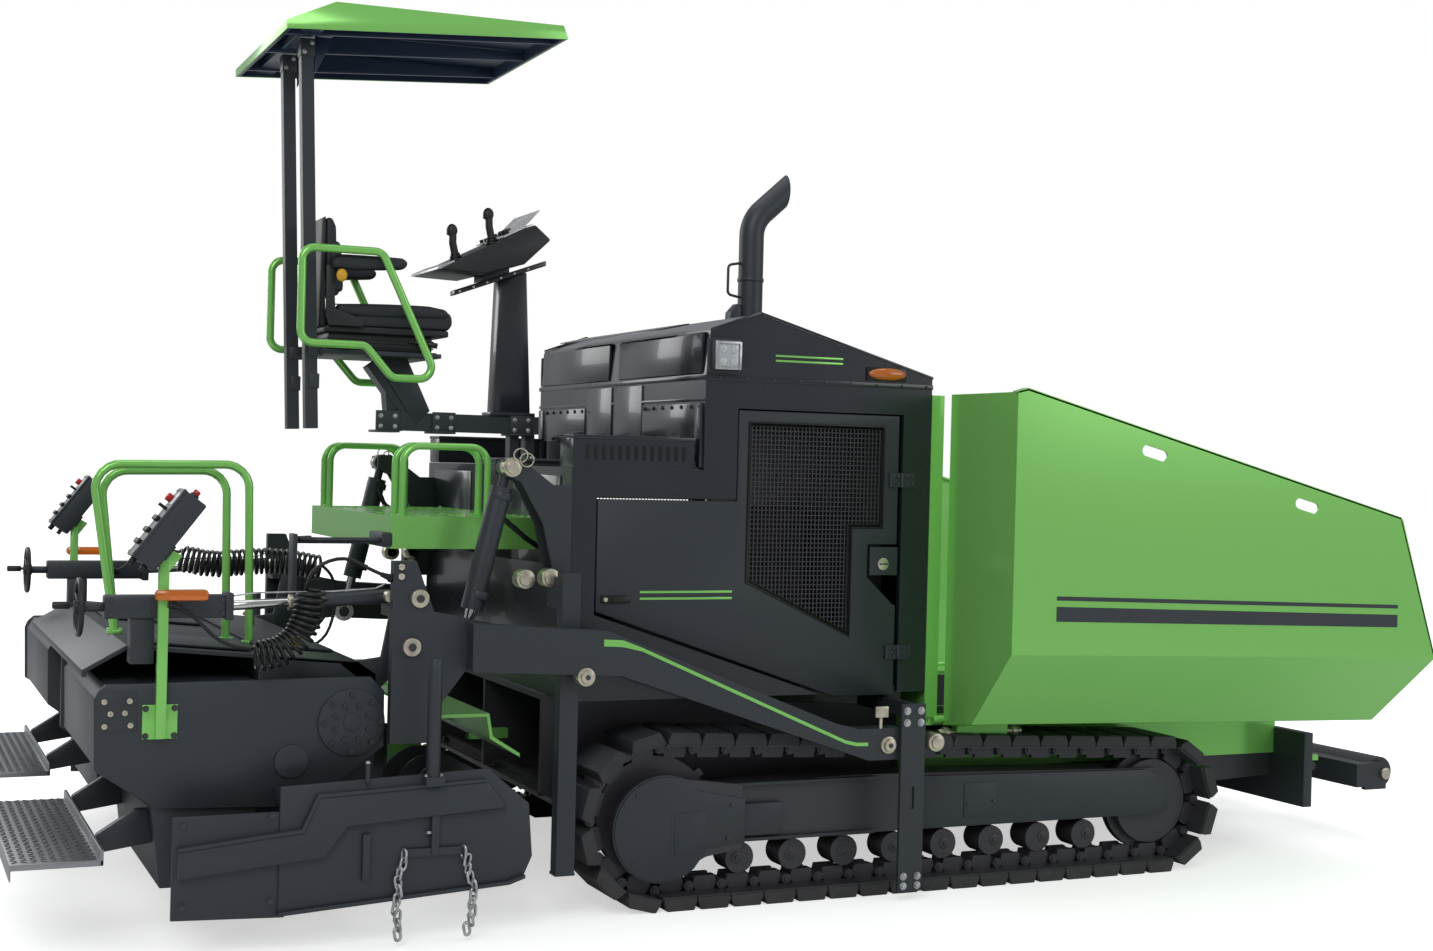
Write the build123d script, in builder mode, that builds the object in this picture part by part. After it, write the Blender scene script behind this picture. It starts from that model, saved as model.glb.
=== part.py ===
"""Tracked asphalt paver, in millimetres.

X runs forward to the hopper, Y to the left of the machine, Z up.
The origin is on the ground, on the machine's centre line.
"""

import os
from math import atan2, ceil, cos, degrees, hypot, pi, radians, sin

from build123d import *

os.makedirs("parts", exist_ok=True)

# side name, sign of Y
SIDES = (("right", -1), ("left", 1))

# ---------------------------------------------------------------- driving dimensions
# crawler tracks
track_y = 1000.0                # middle of each track
shoe_width = 300.0
shoe_depth = 50.0               # plate and pad together
shoe_plate = 14.0
link_pitch = 154.0
pin_line_height = 75.0          # chain pins above the ground
sprocket_x, sprocket_z = -745.0, 350.0
idler_x, idler_z = 1635.0, 300.0
rail_gap = 50.0                 # between the two link rails
rail_thick = 22.0
rail_depth = 35.0               # rails reach this far inside the pin line
roller_radius = 62.0
roller_count = 8

# tractor frame
frame_half = 760.0              # outer face of the chassis side plates
frame_thick = 25.0
frame_rear, frame_front = -1130.0, 2558.0
frame_top = 812.0
tunnel_floor, tunnel_roof = 420.0, 790.0

# engine housing
house_half = 1000.0
house_rear, house_front = -1116.0, 490.0
deck_z = 1722.0
hood_rear, hood_top = -557.0, 2098.0
wall = 25.0
door_gap = 6.0
door_thick = 28.0
door_hinge_x, door_hinge_y = 350.0, 1011.0
ridge_x, ridge_z = -325.0, 2359.0
eave_z = 2283.0

# hopper
wing_y = 1560.0                 # outer wall of an open wing
wing_rear, wing_front = 552.0, 2570.0
wing_top_rear, wing_top_front = 2076.0, 1587.0
wing_hinge_y, wing_hinge_z = 1020.0, 690.0
wing_skin = 10.0

# levelling arms
arm_outer = 1250.0
arm_thick = 80.0
tow_x, tow_z = 177.0, 632.0

# screed
screed_half = 1000.0
screed_rear, screed_front = -2905.0, -1850.0
left_out = 650.0                # the left extension stands this far out
guide_x = -2350.0
guide_z = (620.0, 800.0)
guide_radius = 45.0

# operator's station
station_y = -150.0
canopy_half = 540.0

# ---------------------------------------------------------------- shared forms


def side_plane(y):
    """Drawing plane of the side view: X forward, Z up."""
    return Plane(origin=(0, y, 0), x_dir=(1, 0, 0), z_dir=(0, -1, 0))


def cross_plane(x):
    """Drawing plane of the front view: Y to the left, Z up."""
    return Plane(origin=(x, 0, 0), x_dir=(0, 1, 0), z_dir=(1, 0, 0))


def side_slab(points, y, thick, mode=Mode.ADD):
    """A plate cut to a side-view outline, its middle at y."""
    with BuildSketch(side_plane(y)) as outline:
        with BuildLine():
            Polyline(*points, close=True)
        make_face()
    extrude(outline.sketch, amount=thick / 2, both=True, mode=mode)


def cross_slab(points, x, thick, mode=Mode.ADD):
    """A plate cut to a front-view outline, its middle at x."""
    with BuildSketch(cross_plane(x)) as outline:
        with BuildLine():
            Polyline(*points, close=True)
        make_face()
    extrude(outline.sketch, amount=thick / 2, both=True, mode=mode)


def block(x, y, z, mode=Mode.ADD):
    """A box from its low and high X, Y and Z; Y may be given high to low."""
    low, high = min(y), max(y)
    with Locations(((x[0] + x[1]) / 2, (low + high) / 2, (z[0] + z[1]) / 2)):
        Box(x[1] - x[0], high - low, z[1] - z[0], mode=mode)


def round_bar(start, end, radius, mode=Mode.ADD):
    """A round bar between two points."""
    way = Vector(*end) - Vector(*start)
    with BuildSketch(Plane(origin=start, z_dir=way)) as section:
        Circle(radius)
    extrude(section.sketch, amount=way.length, mode=mode)


def square_bar(start, end, width, height, mode=Mode.ADD):
    """A square bar between two points of one side view; width is across it."""
    way = Vector(*end) - Vector(*start)
    with BuildSketch(Plane(origin=start, x_dir=(0, 1, 0), z_dir=way)) as section:
        Rectangle(width, height)
    extrude(section.sketch, amount=way.length, mode=mode)


def bent_tube(points, bend, radius):
    """A round tube along straight runs joined by bends."""
    with BuildLine() as path:
        FilletPolyline(*points, radius=bend)
    with BuildSketch(Plane(origin=path.line @ 0, z_dir=path.line % 0)) as section:
        Circle(radius)
    sweep(section.sketch, path=path.line)


def tube_loop(points, bend, radius):
    """A round tube bent to a closed loop."""
    with BuildLine() as path:
        FilletPolyline(*points, radius=bend, close=True)
    with BuildSketch(Plane(origin=path.line @ 0, z_dir=path.line % 0)) as section:
        Circle(radius)
    sweep(section.sketch, path=path.line)


def save(piece, name):
    """Label a finished piece and write its STEP file."""
    piece.part.label = name
    export_step(piece.part, f"parts/{name}.step")


# ---------------------------------------------------------------- crawler tracks
sprocket_radius = sprocket_z - pin_line_height   # pin line round the sprocket
idler_radius = idler_z - pin_line_height
centres = idler_x - sprocket_x
top_slope = 2 * atan2(sprocket_z - idler_z, centres)


def pin_line(s):
    """Point and heading on the chain's pin line, s along it from below the sprocket."""
    run = centres
    idler_turn = pi - top_slope
    sprocket_turn = pi + top_slope
    if s < run:
        return sprocket_x + s, pin_line_height, 0.0
    s -= run
    if s < idler_radius * idler_turn:
        a = s / idler_radius
        return idler_x + idler_radius * sin(a), idler_z - idler_radius * cos(a), a
    s -= idler_radius * idler_turn
    if s < run:
        x = idler_x + idler_radius * sin(idler_turn)
        z = idler_z - idler_radius * cos(idler_turn)
        return x + s * cos(idler_turn), z + s * sin(idler_turn), idler_turn
    a = idler_turn + (s - run) / sprocket_radius
    return sprocket_x + sprocket_radius * sin(a), sprocket_z - sprocket_radius * cos(a), a


loop_length = 2 * centres + idler_radius * (pi - top_slope) + sprocket_radius * (pi + top_slope)
shoe_count = round(loop_length / link_pitch)
pitch = loop_length / shoe_count


def chain_point(s, along, inward):
    """A point of the link at s: along the chain, and inward of the pin line."""
    x, z, a = pin_line(s)
    return x + along * cos(a) - inward * sin(a), z + along * sin(a) + inward * cos(a)


outer_edge, inner_edge, rail_edge = [], [], []
pad_edge = -(shoe_depth + 25)
for link in range(shoe_count):
    s = (link + 0.5) * pitch
    for along, inward in ((-0.49, -20), (-0.49, -30), (-0.44, pad_edge), (0.44, pad_edge), (0.49, -30), (0.49, -20)):
        outer_edge.append(chain_point(s, along * pitch, inward))
    inner_edge.append(chain_point(link * pitch, 0, -12))
    for along, inward in ((-0.30, rail_depth), (0.30, rail_depth)):
        rail_edge.append(chain_point(s, along * pitch, inward))

for side, sign in SIDES:
    with BuildPart() as track:
        with BuildSketch(side_plane(sign * track_y)) as shoes:
            with BuildLine():
                Polyline(*outer_edge, close=True)
            make_face()
            with BuildLine():
                Polyline(*inner_edge, close=True)
            make_face(mode=Mode.SUBTRACT)
        extrude(shoes.sketch, amount=shoe_width / 2, both=True)
        for rail_y in (-1, 1):
            y = sign * track_y + rail_y * (rail_gap + rail_thick) / 2
            with BuildSketch(side_plane(y)) as rail:
                with BuildLine():
                    Polyline(*[chain_point(k * pitch, 0, -16) for k in range(shoe_count)], close=True)
                make_face()
                with BuildLine():
                    Polyline(*rail_edge, close=True)
                make_face(mode=Mode.SUBTRACT)
            extrude(rail.sketch, amount=rail_thick / 2, both=True)
    save(track, f"track_{side}")

with BuildPart() as sprockets:
    for side, sign in SIDES:
        with BuildSketch(Plane(origin=(sprocket_x, sign * track_y, sprocket_z), z_dir=(0, -1, 0))) as disc:
            Circle(sprocket_radius - 34)
            with PolarLocations(sprocket_radius - 34, 11):
                Rectangle(50, 34)
        extrude(disc.sketch, amount=18, both=True)
save(sprockets, "sprockets")

frame_bottom = 245.0
roller_z = pin_line_height + rail_depth + 3 + roller_radius
with BuildPart() as rollers:
    for side, sign in SIDES:
        middle = sign * track_y
        for radius, half in ((idler_radius - rail_depth - 6, 52), (idler_radius - 8, 18)):
            round_bar((idler_x, middle - half, idler_z), (idler_x, middle + half, idler_z), radius)
        for k in range(roller_count):
            x = sprocket_x + 360 + k * (centres - 720) / (roller_count - 1)
            round_bar((x, middle - 60, roller_z), (x, middle + 60, roller_z), roller_radius)
            block((x - 22, x + 22), (middle - 20, middle + 20), (roller_z, frame_bottom))
save(rollers, "idlers_and_rollers")

for side, sign in SIDES:
    # a deep box between sprocket and idler, with the final drive's keyhole cover
    frame_outline = (
        (-470, frame_bottom), (-470, 462), (-380, 470), (130, 487), (1400, 455), (1400, frame_bottom),
    )
    with BuildPart() as track_frame:
        side_slab(frame_outline, sign * (track_y - 10), 170)
        for y in (-77.5, 67.5):
            side_slab(((1390, 250), (1390, 455), (1640, 450), (1700, 300), (1640, 250)), sign * (track_y + y), 15)
        y_cover = sign * (track_y + 97.5)
        side_slab(((-742, 115), (-742, 520), (-405, 478), (-405, 225), (-560, 200)), y_cover, 45)
        round_bar((sprocket_x, sign * (track_y + 75), 318), (sprocket_x, sign * (track_y + 120), 318), 203)
        block((-300, 120), (sign * (frame_half + 1), sign * (track_y - 94)), (260, 440))
        block((1000, 1380), (sign * (frame_half + 1), sign * (track_y - 94)), (260, 440))
    save(track_frame, f"track_frame_{side}")

# ---------------------------------------------------------------- chassis
with BuildPart() as chassis:
    for side, sign in SIDES:
        outline = (
            (frame_rear, 420), (frame_rear, frame_top), (frame_front, frame_top - 200),
            (frame_front, 330), (1900, 300), (-900, 300),
        )
        side_slab(outline, sign * (frame_half - frame_thick / 2), frame_thick)
    for x in (-1000, 900, 2400):
        block((x, x + 80), (-(frame_half - frame_thick), frame_half - frame_thick), (330, 400))
save(chassis, "chassis")

inside = frame_half - frame_thick - 1
with BuildPart() as conveyor_floor:
    block((frame_rear, frame_front - 30), (-inside, inside), (402, tunnel_floor))
    block((frame_rear, house_front), (-12, 12), (tunnel_floor, tunnel_roof))
save(conveyor_floor, "conveyor_floor")

with BuildPart() as conveyor_chains:
    slat_pitch = 160.0
    for lane in (-1, 1):
        for k in range(int((frame_front - 60 - frame_rear) / slat_pitch)):
            x = frame_rear + 40 + k * slat_pitch
            block((x, x + 35), (lane * 60, lane * 700), (tunnel_floor + 2, tunnel_floor + 30))
        for y in (90, 670):
            block((frame_rear + 20, frame_front - 60), (lane * (y - 12), lane * (y + 12)), (tunnel_floor + 2, tunnel_floor + 22))
save(conveyor_chains, "conveyor_chains")

with BuildPart() as tunnel_cover:
    block((frame_rear, house_front), (-inside, inside), (tunnel_roof, frame_top))
save(tunnel_cover, "tunnel_cover")

with BuildPart() as engine:
    block((-430, 250), (-300, 300), (frame_top, 1560))
save(engine, "engine")

with BuildPart() as radiator:
    block((290, 380), (-800, 800), (1150, 1950))
    for y in (-600, 600):
        block((300, 370), (y - 40, y + 40), (frame_top, 1150))
save(radiator, "radiator")

# ---------------------------------------------------------------- engine housing
house_outline = (
    (house_rear, frame_top), (house_rear, deck_z), (hood_rear, deck_z),
    (hood_rear, hood_top), (house_front, hood_top), (house_front, frame_top),
)
house_inside = (
    (house_rear + wall, frame_top - 10), (house_rear + wall, deck_z - wall), (hood_rear + wall, deck_z - wall),
    (hood_rear + wall, hood_top + 10), (house_front - wall, hood_top + 10), (house_front - wall, frame_top - 10),
)
door_outline = (
    (-1005, 1160), (-1005, 1600), (-405, 1600), (-405, 1968),
    (door_hinge_x - 12, 1968), (door_hinge_x - 12, 800), (55, 800),
)
door_opening = (
    (-1005 - door_gap, 1160 - 2 * door_gap), (-1005 - door_gap, 1600 + door_gap), (-405 - door_gap, 1600 + door_gap),
    (-405 - door_gap, 1968 + door_gap), (door_hinge_x + 6, 1968 + door_gap),
    (door_hinge_x + 6, frame_top - 20), (55 - door_gap, frame_top - 20),
)
grille_window = ((-345, 1195), (-345, 1925), (270, 1925), (270, 1195))
with BuildPart() as housing:
    side_slab(house_outline, 0, 2 * house_half)
    side_slab(house_inside, 0, 2 * (house_half - wall), mode=Mode.SUBTRACT)
    for side, sign in SIDES:
        side_slab(door_opening, sign * (house_half - wall / 2), wall + 10, mode=Mode.SUBTRACT)
save(housing, "engine_housing")

roof_outline = (
    (hood_rear, hood_top + 1), (hood_rear + 15, eave_z), (ridge_x, ridge_z),
    (house_front, hood_top + 30), (house_front, hood_top + 1),
)
roof_inside = (
    (hood_rear + wall, hood_top), (hood_rear + 15 + wall, eave_z - wall), (ridge_x, ridge_z - wall - 3),
    (house_front - wall, hood_top + 12), (house_front - wall, hood_top),
)
with BuildPart() as roof:
    side_slab(roof_outline, 0, 2 * house_half)
    side_slab(roof_inside, 0, 2 * (house_half - wall), mode=Mode.SUBTRACT)
    round_bar((-40, -300, 2150), (-40, -300, 2400), 57, mode=Mode.SUBTRACT)
save(roof, "roof")

with BuildPart() as exhaust:
    bent_tube(((-40, -300, 2150), (-40, -300, 2830), (160, -300, 3010)), 150, 55)
    block((120, 400), (-400, -200), (2800, 3200), mode=Mode.SUBTRACT)
save(exhaust, "exhaust_stack")

for side, sign in SIDES:
    with BuildPart() as door:
        side_slab(door_outline, sign * (house_half - door_thick / 2), door_thick)
        side_slab(grille_window, sign * (house_half - door_thick / 2), door_thick + 10, mode=Mode.SUBTRACT)
        for z in (1120, 1780):
            knuckle = (door_hinge_x, sign * door_hinge_y)
            round_bar((*knuckle, z), (*knuckle, z + 60), 10)
            block((door_hinge_x - 60, door_hinge_x - 2), (sign * house_half, sign * (house_half + 12)), (z, z + 60))
    save(door, f"side_door_{side}")
    with BuildPart() as grille:
        x_low, x_high = grille_window[0][0] + 1, grille_window[2][0] - 1
        z_low, z_high = grille_window[0][1] + 1, grille_window[1][1] - 1
        y_grille = sign * (house_half - 14)
        columns, rows = 8, 10
        for k in range(columns + 1):
            x = x_low + 6 + k * (x_high - x_low - 12) / columns
            block((x - 6, x + 6), (y_grille - 4, y_grille + 4), (z_low, z_high))
        for k in range(rows + 1):
            z = z_low + 6 + k * (z_high - z_low - 12) / rows
            block((x_low, x_high), (y_grille - 4, y_grille + 4), (z - 6, z + 6))
    save(grille, f"door_grille_{side}")

with BuildPart() as tool_tray:
    for side, sign in SIDES:
        block((-1108, -605), (sign * (house_half - 150), sign * house_half), (deck_z + 1, 1838))
save(tool_tray, "tool_trays")

# ---------------------------------------------------------------- hopper
with BuildPart() as hopper_frame:
    block((house_front + 6, house_front + 30), (-990, 990), (frame_top + 3, 2050))
    block((2560, 2600), (-1000, 1000), (216, 557))
    for y in (-900, 900):
        block((2600, 2690), (y - 45, y + 45), (420, 445))
        with Locations((2645, y, 432.5)):
            Cylinder(20, 40, mode=Mode.SUBTRACT)
    for side, sign in SIDES:
        hinge = (sign * wing_hinge_y, wing_hinge_z)
        round_bar((house_front + 30, *hinge), (2560, *hinge), 18)
        block((house_front + 6, 2560), (sign * 789, sign * (wing_hinge_y - 10)), (668, 680))
        block((house_front + 6, house_front + 30), (sign * 789, sign * 990), (679, frame_top + 4))
        block((house_front + 6, 2560), (sign * (frame_half + 1), sign * 790), (440, 680))
save(hopper_frame, "hopper_frame")

wing_slope = Vector(2190, 0, -50)
for side, sign in SIDES:
    with BuildPart() as wing:
        skin = (
            (wing_y, 2100), (wing_y, 1020), (1280, 705), (1052, 672),
            (1052, 672 + wing_skin), (1276, 705 + wing_skin), (wing_y - wing_skin, 1024), (wing_y - wing_skin, 2100),
        )
        with BuildSketch(cross_plane(wing_rear)) as section:
            with BuildLine():
                Polyline(*[(sign * y, z) for y, z in skin], close=True)
            make_face()
        extrude(section.sketch, amount=2300, dir=wing_slope)
        rear_wall = ((1000, 745), (1000, 2100), (1556, 2100), (1556, 1020), (1279, 706), (1060, 675), (1045, 700))
        cross_slab([(sign * y, z) for y, z in rear_wall], wing_rear + 5, 10)
        keep = (
            (wing_rear, 600), (wing_rear, wing_top_rear), (wing_front, wing_top_front),
            (2790, 960), (2680, 600),
        )
        with BuildSketch(side_plane(0)) as trim:
            with BuildLine():
                Polyline(*keep, close=True)
            make_face()
        extrude(trim.sketch, amount=2000, both=True, mode=Mode.INTERSECT)
        lip = (
            (wing_rear, wing_top_rear - 10), (wing_rear, wing_top_rear),
            (wing_front, wing_top_front), (wing_front, wing_top_front - 10),
        )
        side_slab(lip, sign * (wing_y - 20), 40)
    save(wing, f"hopper_wing_{side}")

with BuildPart() as push_beam:
    block((2601, 2960), (-120, 120), (290, 400))
    block((2880, 2960), (-1000, 1000), (290, 400))
    for side, sign in SIDES:
        for y in (60, 960):
            block((2960, 3090), (sign * (y - 12), sign * (y + 12)), (270, 400))
save(push_beam, "push_beam")
for side, sign in SIDES:
    with BuildPart() as push_roller:
        round_bar((3075, sign * 80, 345), (3075, sign * 940, 345), 75)
    save(push_roller, f"push_roller_{side}")

# ---------------------------------------------------------------- operator's station
with BuildPart() as station_frame:
    block((-1500, -980), (station_y - 50, station_y + 50), (1855, 1930))
    block((-1120, -640), (station_y - 300, station_y + 300), (deck_z + 1, 1742))
    for x in (-1080, -1010):
        block((x - 20, x + 20), (station_y - 30, station_y + 30), (1742, 1855))
    square_bar((-1500, station_y, 1890), (-1690, station_y, 2140), 90, 90)
    block((-1950, -1480), (station_y - 200, station_y + 200), (2150, 2174))
    square_bar((-1600, station_y, 1850), (-1625, station_y, 2080), 80, 60)
    block((-1620, -1480), (station_y - 50, station_y + 50), (1855, 1930))
save(station_frame, "station_frame")

with BuildPart() as console_column:
    outline = ((-1175, 1931), (-1150, 2540), (-1045, 2560), (-1010, 1931))
    side_slab(outline, station_y, 90)
save(console_column, "console_column")

with BuildPart() as console:
    outline = ((-1430, 2500), (-1440, 2555), (-1100, 2690), (-1030, 2790), (-945, 2730), (-950, 2690), (-1010, 2600), (-1180, 2562))
    side_slab(outline, station_y, 420)
    for x, y, z in ((-1330, -130, 2580), (-1230, -60, 2620)):
        round_bar((x, station_y + y, z), (x - 40, station_y + y, z + 170), 18)
save(console, "console")

with BuildPart() as seat_base:
    block((-1950, -1480), (station_y - 230, station_y + 230), (2175, 2245))
save(seat_base, "seat_base")
with BuildPart() as seat_cushion:
    block((-1945, -1415), (station_y - 240, station_y + 240), (2246, 2370))
save(seat_cushion, "seat_cushion")
with BuildPart() as seat_back:
    side_slab(((-1950, 2372), (-1885, 2372), (-1905, 2700), (-1955, 2700)), station_y, 440)
save(seat_back, "seat_back")
with BuildPart() as hand_rails:
    for side, sign in SIDES:
        y = station_y + sign * 300
        loop = (
            (-2060, y, 2186), (-2060, y, 2562), (-1740, y, 2562), (-1500, y, 2061), (-1690, y, 2061), (-1800, y, 2186),
        )
        tube_loop(loop, 50, 16)
        block((-1900, -1860), (y, station_y + sign * 231), (2180, 2200))
save(hand_rails, "hand_rails")

with BuildPart() as canopy_posts:
    for y in (-175, 175):
        square_bar((-1985, station_y + y, 1850), (-2040, station_y + y, 3400), 50, 50)
save(canopy_posts, "canopy_posts")
with BuildPart() as canopy:
    with BuildSketch(cross_plane(-2105)) as section:
        with BuildLine():
            Polyline((-540, 3390), (-540, 3410), (0, 3530), (540, 3410), (540, 3390), (0, 3500), close=True)
        make_face()
    extrude(section.sketch, amount=1040, dir=(1040, 0, 60))
save(canopy, "canopy")

# ---------------------------------------------------------------- screed lift
lift_x, lift_z = -1363.0, 1716.0        # pin on the tractor
eye_x, eye_z = -1530.0, 1010.0          # pin on the levelling arm
lift_length = hypot(eye_x - lift_x, eye_z - lift_z)


def lift_point(along, y):
    """A point of the lift cylinder's axis, along it from the upper pin."""
    share = along / lift_length
    return lift_x + share * (eye_x - lift_x), y, lift_z + share * (eye_z - lift_z)


for side, sign in SIDES:
    y_lift = sign * 950
    with BuildPart() as lift_barrel:
        round_bar(lift_point(80, y_lift), lift_point(560, y_lift), 42)
        round_bar(lift_point(20, y_lift), lift_point(82, y_lift), 19)
        round_bar((lift_x, y_lift - 20, lift_z), (lift_x, y_lift + 20, lift_z), 38)
        round_bar(lift_point(215, y_lift), lift_point(561, y_lift), 21, mode=Mode.SUBTRACT)
    save(lift_barrel, f"lift_barrel_{side}")
    with BuildPart() as lift_rod:
        round_bar(lift_point(310, y_lift), lift_point(lift_length - 30, y_lift), 20.9)
        round_bar((eye_x, y_lift - 24, eye_z), (eye_x, y_lift + 24, eye_z), 44)
        round_bar((eye_x, y_lift - 25, eye_z), (eye_x, y_lift + 25, eye_z), 24, mode=Mode.SUBTRACT)
    save(lift_rod, f"lift_rod_{side}")

with BuildPart() as lift_brackets:
    outline = (
        (-1395, 1690), (-1395, 1745), (-1335, 1755), (-1190, 1650), (house_rear, 1650),
        (house_rear, 1300), (-1180, 1300), (-1230, 1500), (-1320, 1660),
    )
    for side, sign in SIDES:
        for y in (-52, 52):
            side_slab(outline, sign * 950 + y, 14)
        block((house_rear - 14, house_rear), (sign * 950 - 59, sign * 950 + 59), (1300, 1650))
        pin = (lift_x, lift_z)
        round_bar((lift_x, sign * 950 - 58, lift_z), (lift_x, sign * 950 - 21, lift_z), 24)
        round_bar((lift_x, sign * 950 + 21, lift_z), (lift_x, sign * 950 + 58, lift_z), 24)
save(lift_brackets, "lift_brackets")

# ---------------------------------------------------------------- levelling arms and screed
arm_outline = (
    (-1573, 965), (-1573, 1141), (-1045, 1108), (-60, 725), (40, 700),
    (232, 700), (232, 572), (90, 572), (-985, 937),
)
for side, sign in SIDES:
    with BuildPart() as arm:
        side_slab(arm_outline, sign * (arm_outer - arm_thick / 2), arm_thick)
        outline = (
            (-1855, 700), (-1855, 1366), (-1770, 1366), (-1700, 1180), (-1450, 1130),
            (-1450, 975), (-1573, 965), (-1703, 794), (-1703, 700),
        )
        side_slab(outline, sign * (arm_outer - 102.5), 45)
        round_bar((eye_x, sign * 1130, eye_z), (eye_x, sign * 915, eye_z), 20)
        block((-1855, -1730), (sign * 1126, sign * (screed_half + 1)), (1160, 1200))
    save(arm, f"level_arm_{side}")

with BuildPart() as tow_guides:
    for side, sign in SIDES:
        with BuildSketch(side_plane(sign * (arm_outer + 18))) as plate:
            with Locations((279, 418)):
                Rectangle(110, 760)
                Rectangle(20, 90, mode=Mode.SUBTRACT)
        extrude(plate.sketch, amount=8, both=True)
        block((300, 334), (sign * (arm_outer + 10), sign * frame_half), (730, 790))
        block((-1200, -1127), (sign * 1100, sign * 1162), (177, 1320))
        block((-1190, house_rear), (sign * (house_half - 40), sign * 1110), (1180, 1300))
save(tow_guides, "arm_guides")

auger_x, auger_z, auger_radius = -1480.0, 400.0, 150.0
for side, sign in SIDES:
    with BuildPart() as auger:
        round_bar((auger_x, sign * 70, auger_z), (auger_x, sign * 980, auger_z), 38)
        for k in range(5):
            y = sign * (160 + k * 180)
            lean = Vector(0.35, 1, 0)
            with BuildSketch(Plane(origin=(auger_x, y, auger_z), z_dir=lean)) as flight:
                Circle(auger_radius)
            extrude(flight.sketch, amount=6, both=True)
    save(auger, f"auger_{side}")

with BuildPart() as auger_frame:
    block((-1540, -1420), (-55, 55), (340, 700))
    covers = ((-1640, 765), (-1640, 777), (-1425, 777), (-1410, 690), (-1300, 620), (-1300, 606), (-1420, 680), (-1435, 765))
    for side, sign in SIDES:
        side_slab(covers, sign * 520, 960)
        block((-1300, frame_rear), (sign * 300, sign * 340), (580, 620))
    block((-1540, -1420), (-55, 55), (700, 765))
save(auger_frame, "auger_frame")

with BuildPart() as screed:
    outline = (
        (-2640, 215), (-1880, 215), (-1857, 700), (-1857, 940), (-1930, 985),
        (-2760, 1060), (-2905, 960), (-2905, 640), (-2680, 500),
    )
    side_slab(outline, 0, 2 * screed_half)
    hollow = (
        (-2625, 230), (-1894, 230), (-1872, 700), (-1872, 928), (-1935, 970),
        (-2756, 1044), (-2890, 952), (-2890, 646), (-2668, 510),
    )
    side_slab(hollow, 0, 2 * (screed_half - 15), mode=Mode.SUBTRACT)
    for z in guide_z:
        round_bar((guide_x, -screed_half, z), (guide_x, screed_half, z), guide_radius + 1, mode=Mode.SUBTRACT)
save(screed, "screed")

with BuildPart() as walkways:
    for side, sign in SIDES:
        block((-3150, -2850), (sign * 20, sign * 990), (340, 360))
        block((-2850, -2700), (sign * 20, sign * 60), (320, 500))
save(walkways, "walkways")

for side, sign in SIDES:
    out = left_out if side == "left" else 0
    with BuildPart() as extension:
        outline = (
            (-2876, 640), (-2881, 882), (-2843, 936), (-1916, 946),
            (-1855, 889), (-1850, 687), (-2142, 482), (-2666, 498),
        )
        side_slab(outline, sign * (1110 + out), 20)
        for z in guide_z:
            round_bar((guide_x, sign * (1100 + out), z), (guide_x, sign * (1100 + out - 960), z), guide_radius)
    save(extension, f"screed_extension_{side}")
    with BuildPart() as end_gate:
        outline = (
            (-2640, 140), (-2640, 500), (-2274, 500), (-2274, 590), (-1523, 620),
            (-1363, 485), (-1346, 290), (-1379, 216),
        )
        side_slab(outline, sign * (1300 + out), 16)
        block((-2260, -1760), (sign * (1120 + out), sign * (1292 + out)), (510, 560))
        block((-1770, -1700), (sign * (1307 + out), sign * (1368 + out)), (570, 605))
        round_bar((-1738, sign * (1337 + out), 600), (-1738, sign * (1337 + out), 1029), 25)
    save(end_gate, f"end_gate_{side}")
    with BuildPart() as post:
        y = sign * (1135 + out)
        block((-2678, -2642), (y - 15, y + 15), (740, 1350))
        with BuildSketch(Plane(origin=(-2650, y, 1455), x_dir=(0, 1, 0), z_dir=(0.75, 0, 0.66))) as box:
            Rectangle(120, 95)
        extrude(box.sketch, amount=150, both=True)
    save(post, f"control_post_{side}")

with BuildPart() as thickness_screws:
    for side, sign in SIDES:
        y = sign * 1060
        block((-2849, -2421), (y - 40, y + 40), (1160, 1240))
        block((-2760, -2680), (sign * screed_half, sign * 1090), (990, 1160))
        round_bar((-2421, y, 1200), (-1870, y, 1225), 22)
        round_bar((-2930, y, 1199), (-2849, y, 1199), 14)
        with BuildSketch(cross_plane(-2931)) as wheel:
            with Locations((y, 1199)):
                Circle(104)
        extrude(wheel.sketch, amount=10, both=True)
save(thickness_screws, "thickness_screws")

with BuildPart() as guard_hoops:
    for y in (-520, -440, 440, 520):
        bent_tube(((-2745, y, 1066), (-2840, y, 1690), (-2260, y, 1700), (-2245, y, 1021)), 90, 16)
save(guard_hoops, "guard_hoops")

with BuildPart() as step_platform:
    block((-1744, house_rear), (-700, 700), (1500, 1515))
    for y in (-694, 694):
        block((-1744, house_rear), (y - 6, y + 6), (1388, 1500))
    block((-1744, -1732), (-688, 688), (1388, 1500))
    for y in (-680, -560, 560, 680):
        bent_tube(((-1697, y, 1515), (-1697, y, 1790), (-1353, y, 1790), (-1353, y, 1515)), 70, 14)
save(step_platform, "step_platform")
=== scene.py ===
"""Looks of a tracked asphalt paver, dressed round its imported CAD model."""

import math

import bpy
from mathutils import Matrix, Vector


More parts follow.
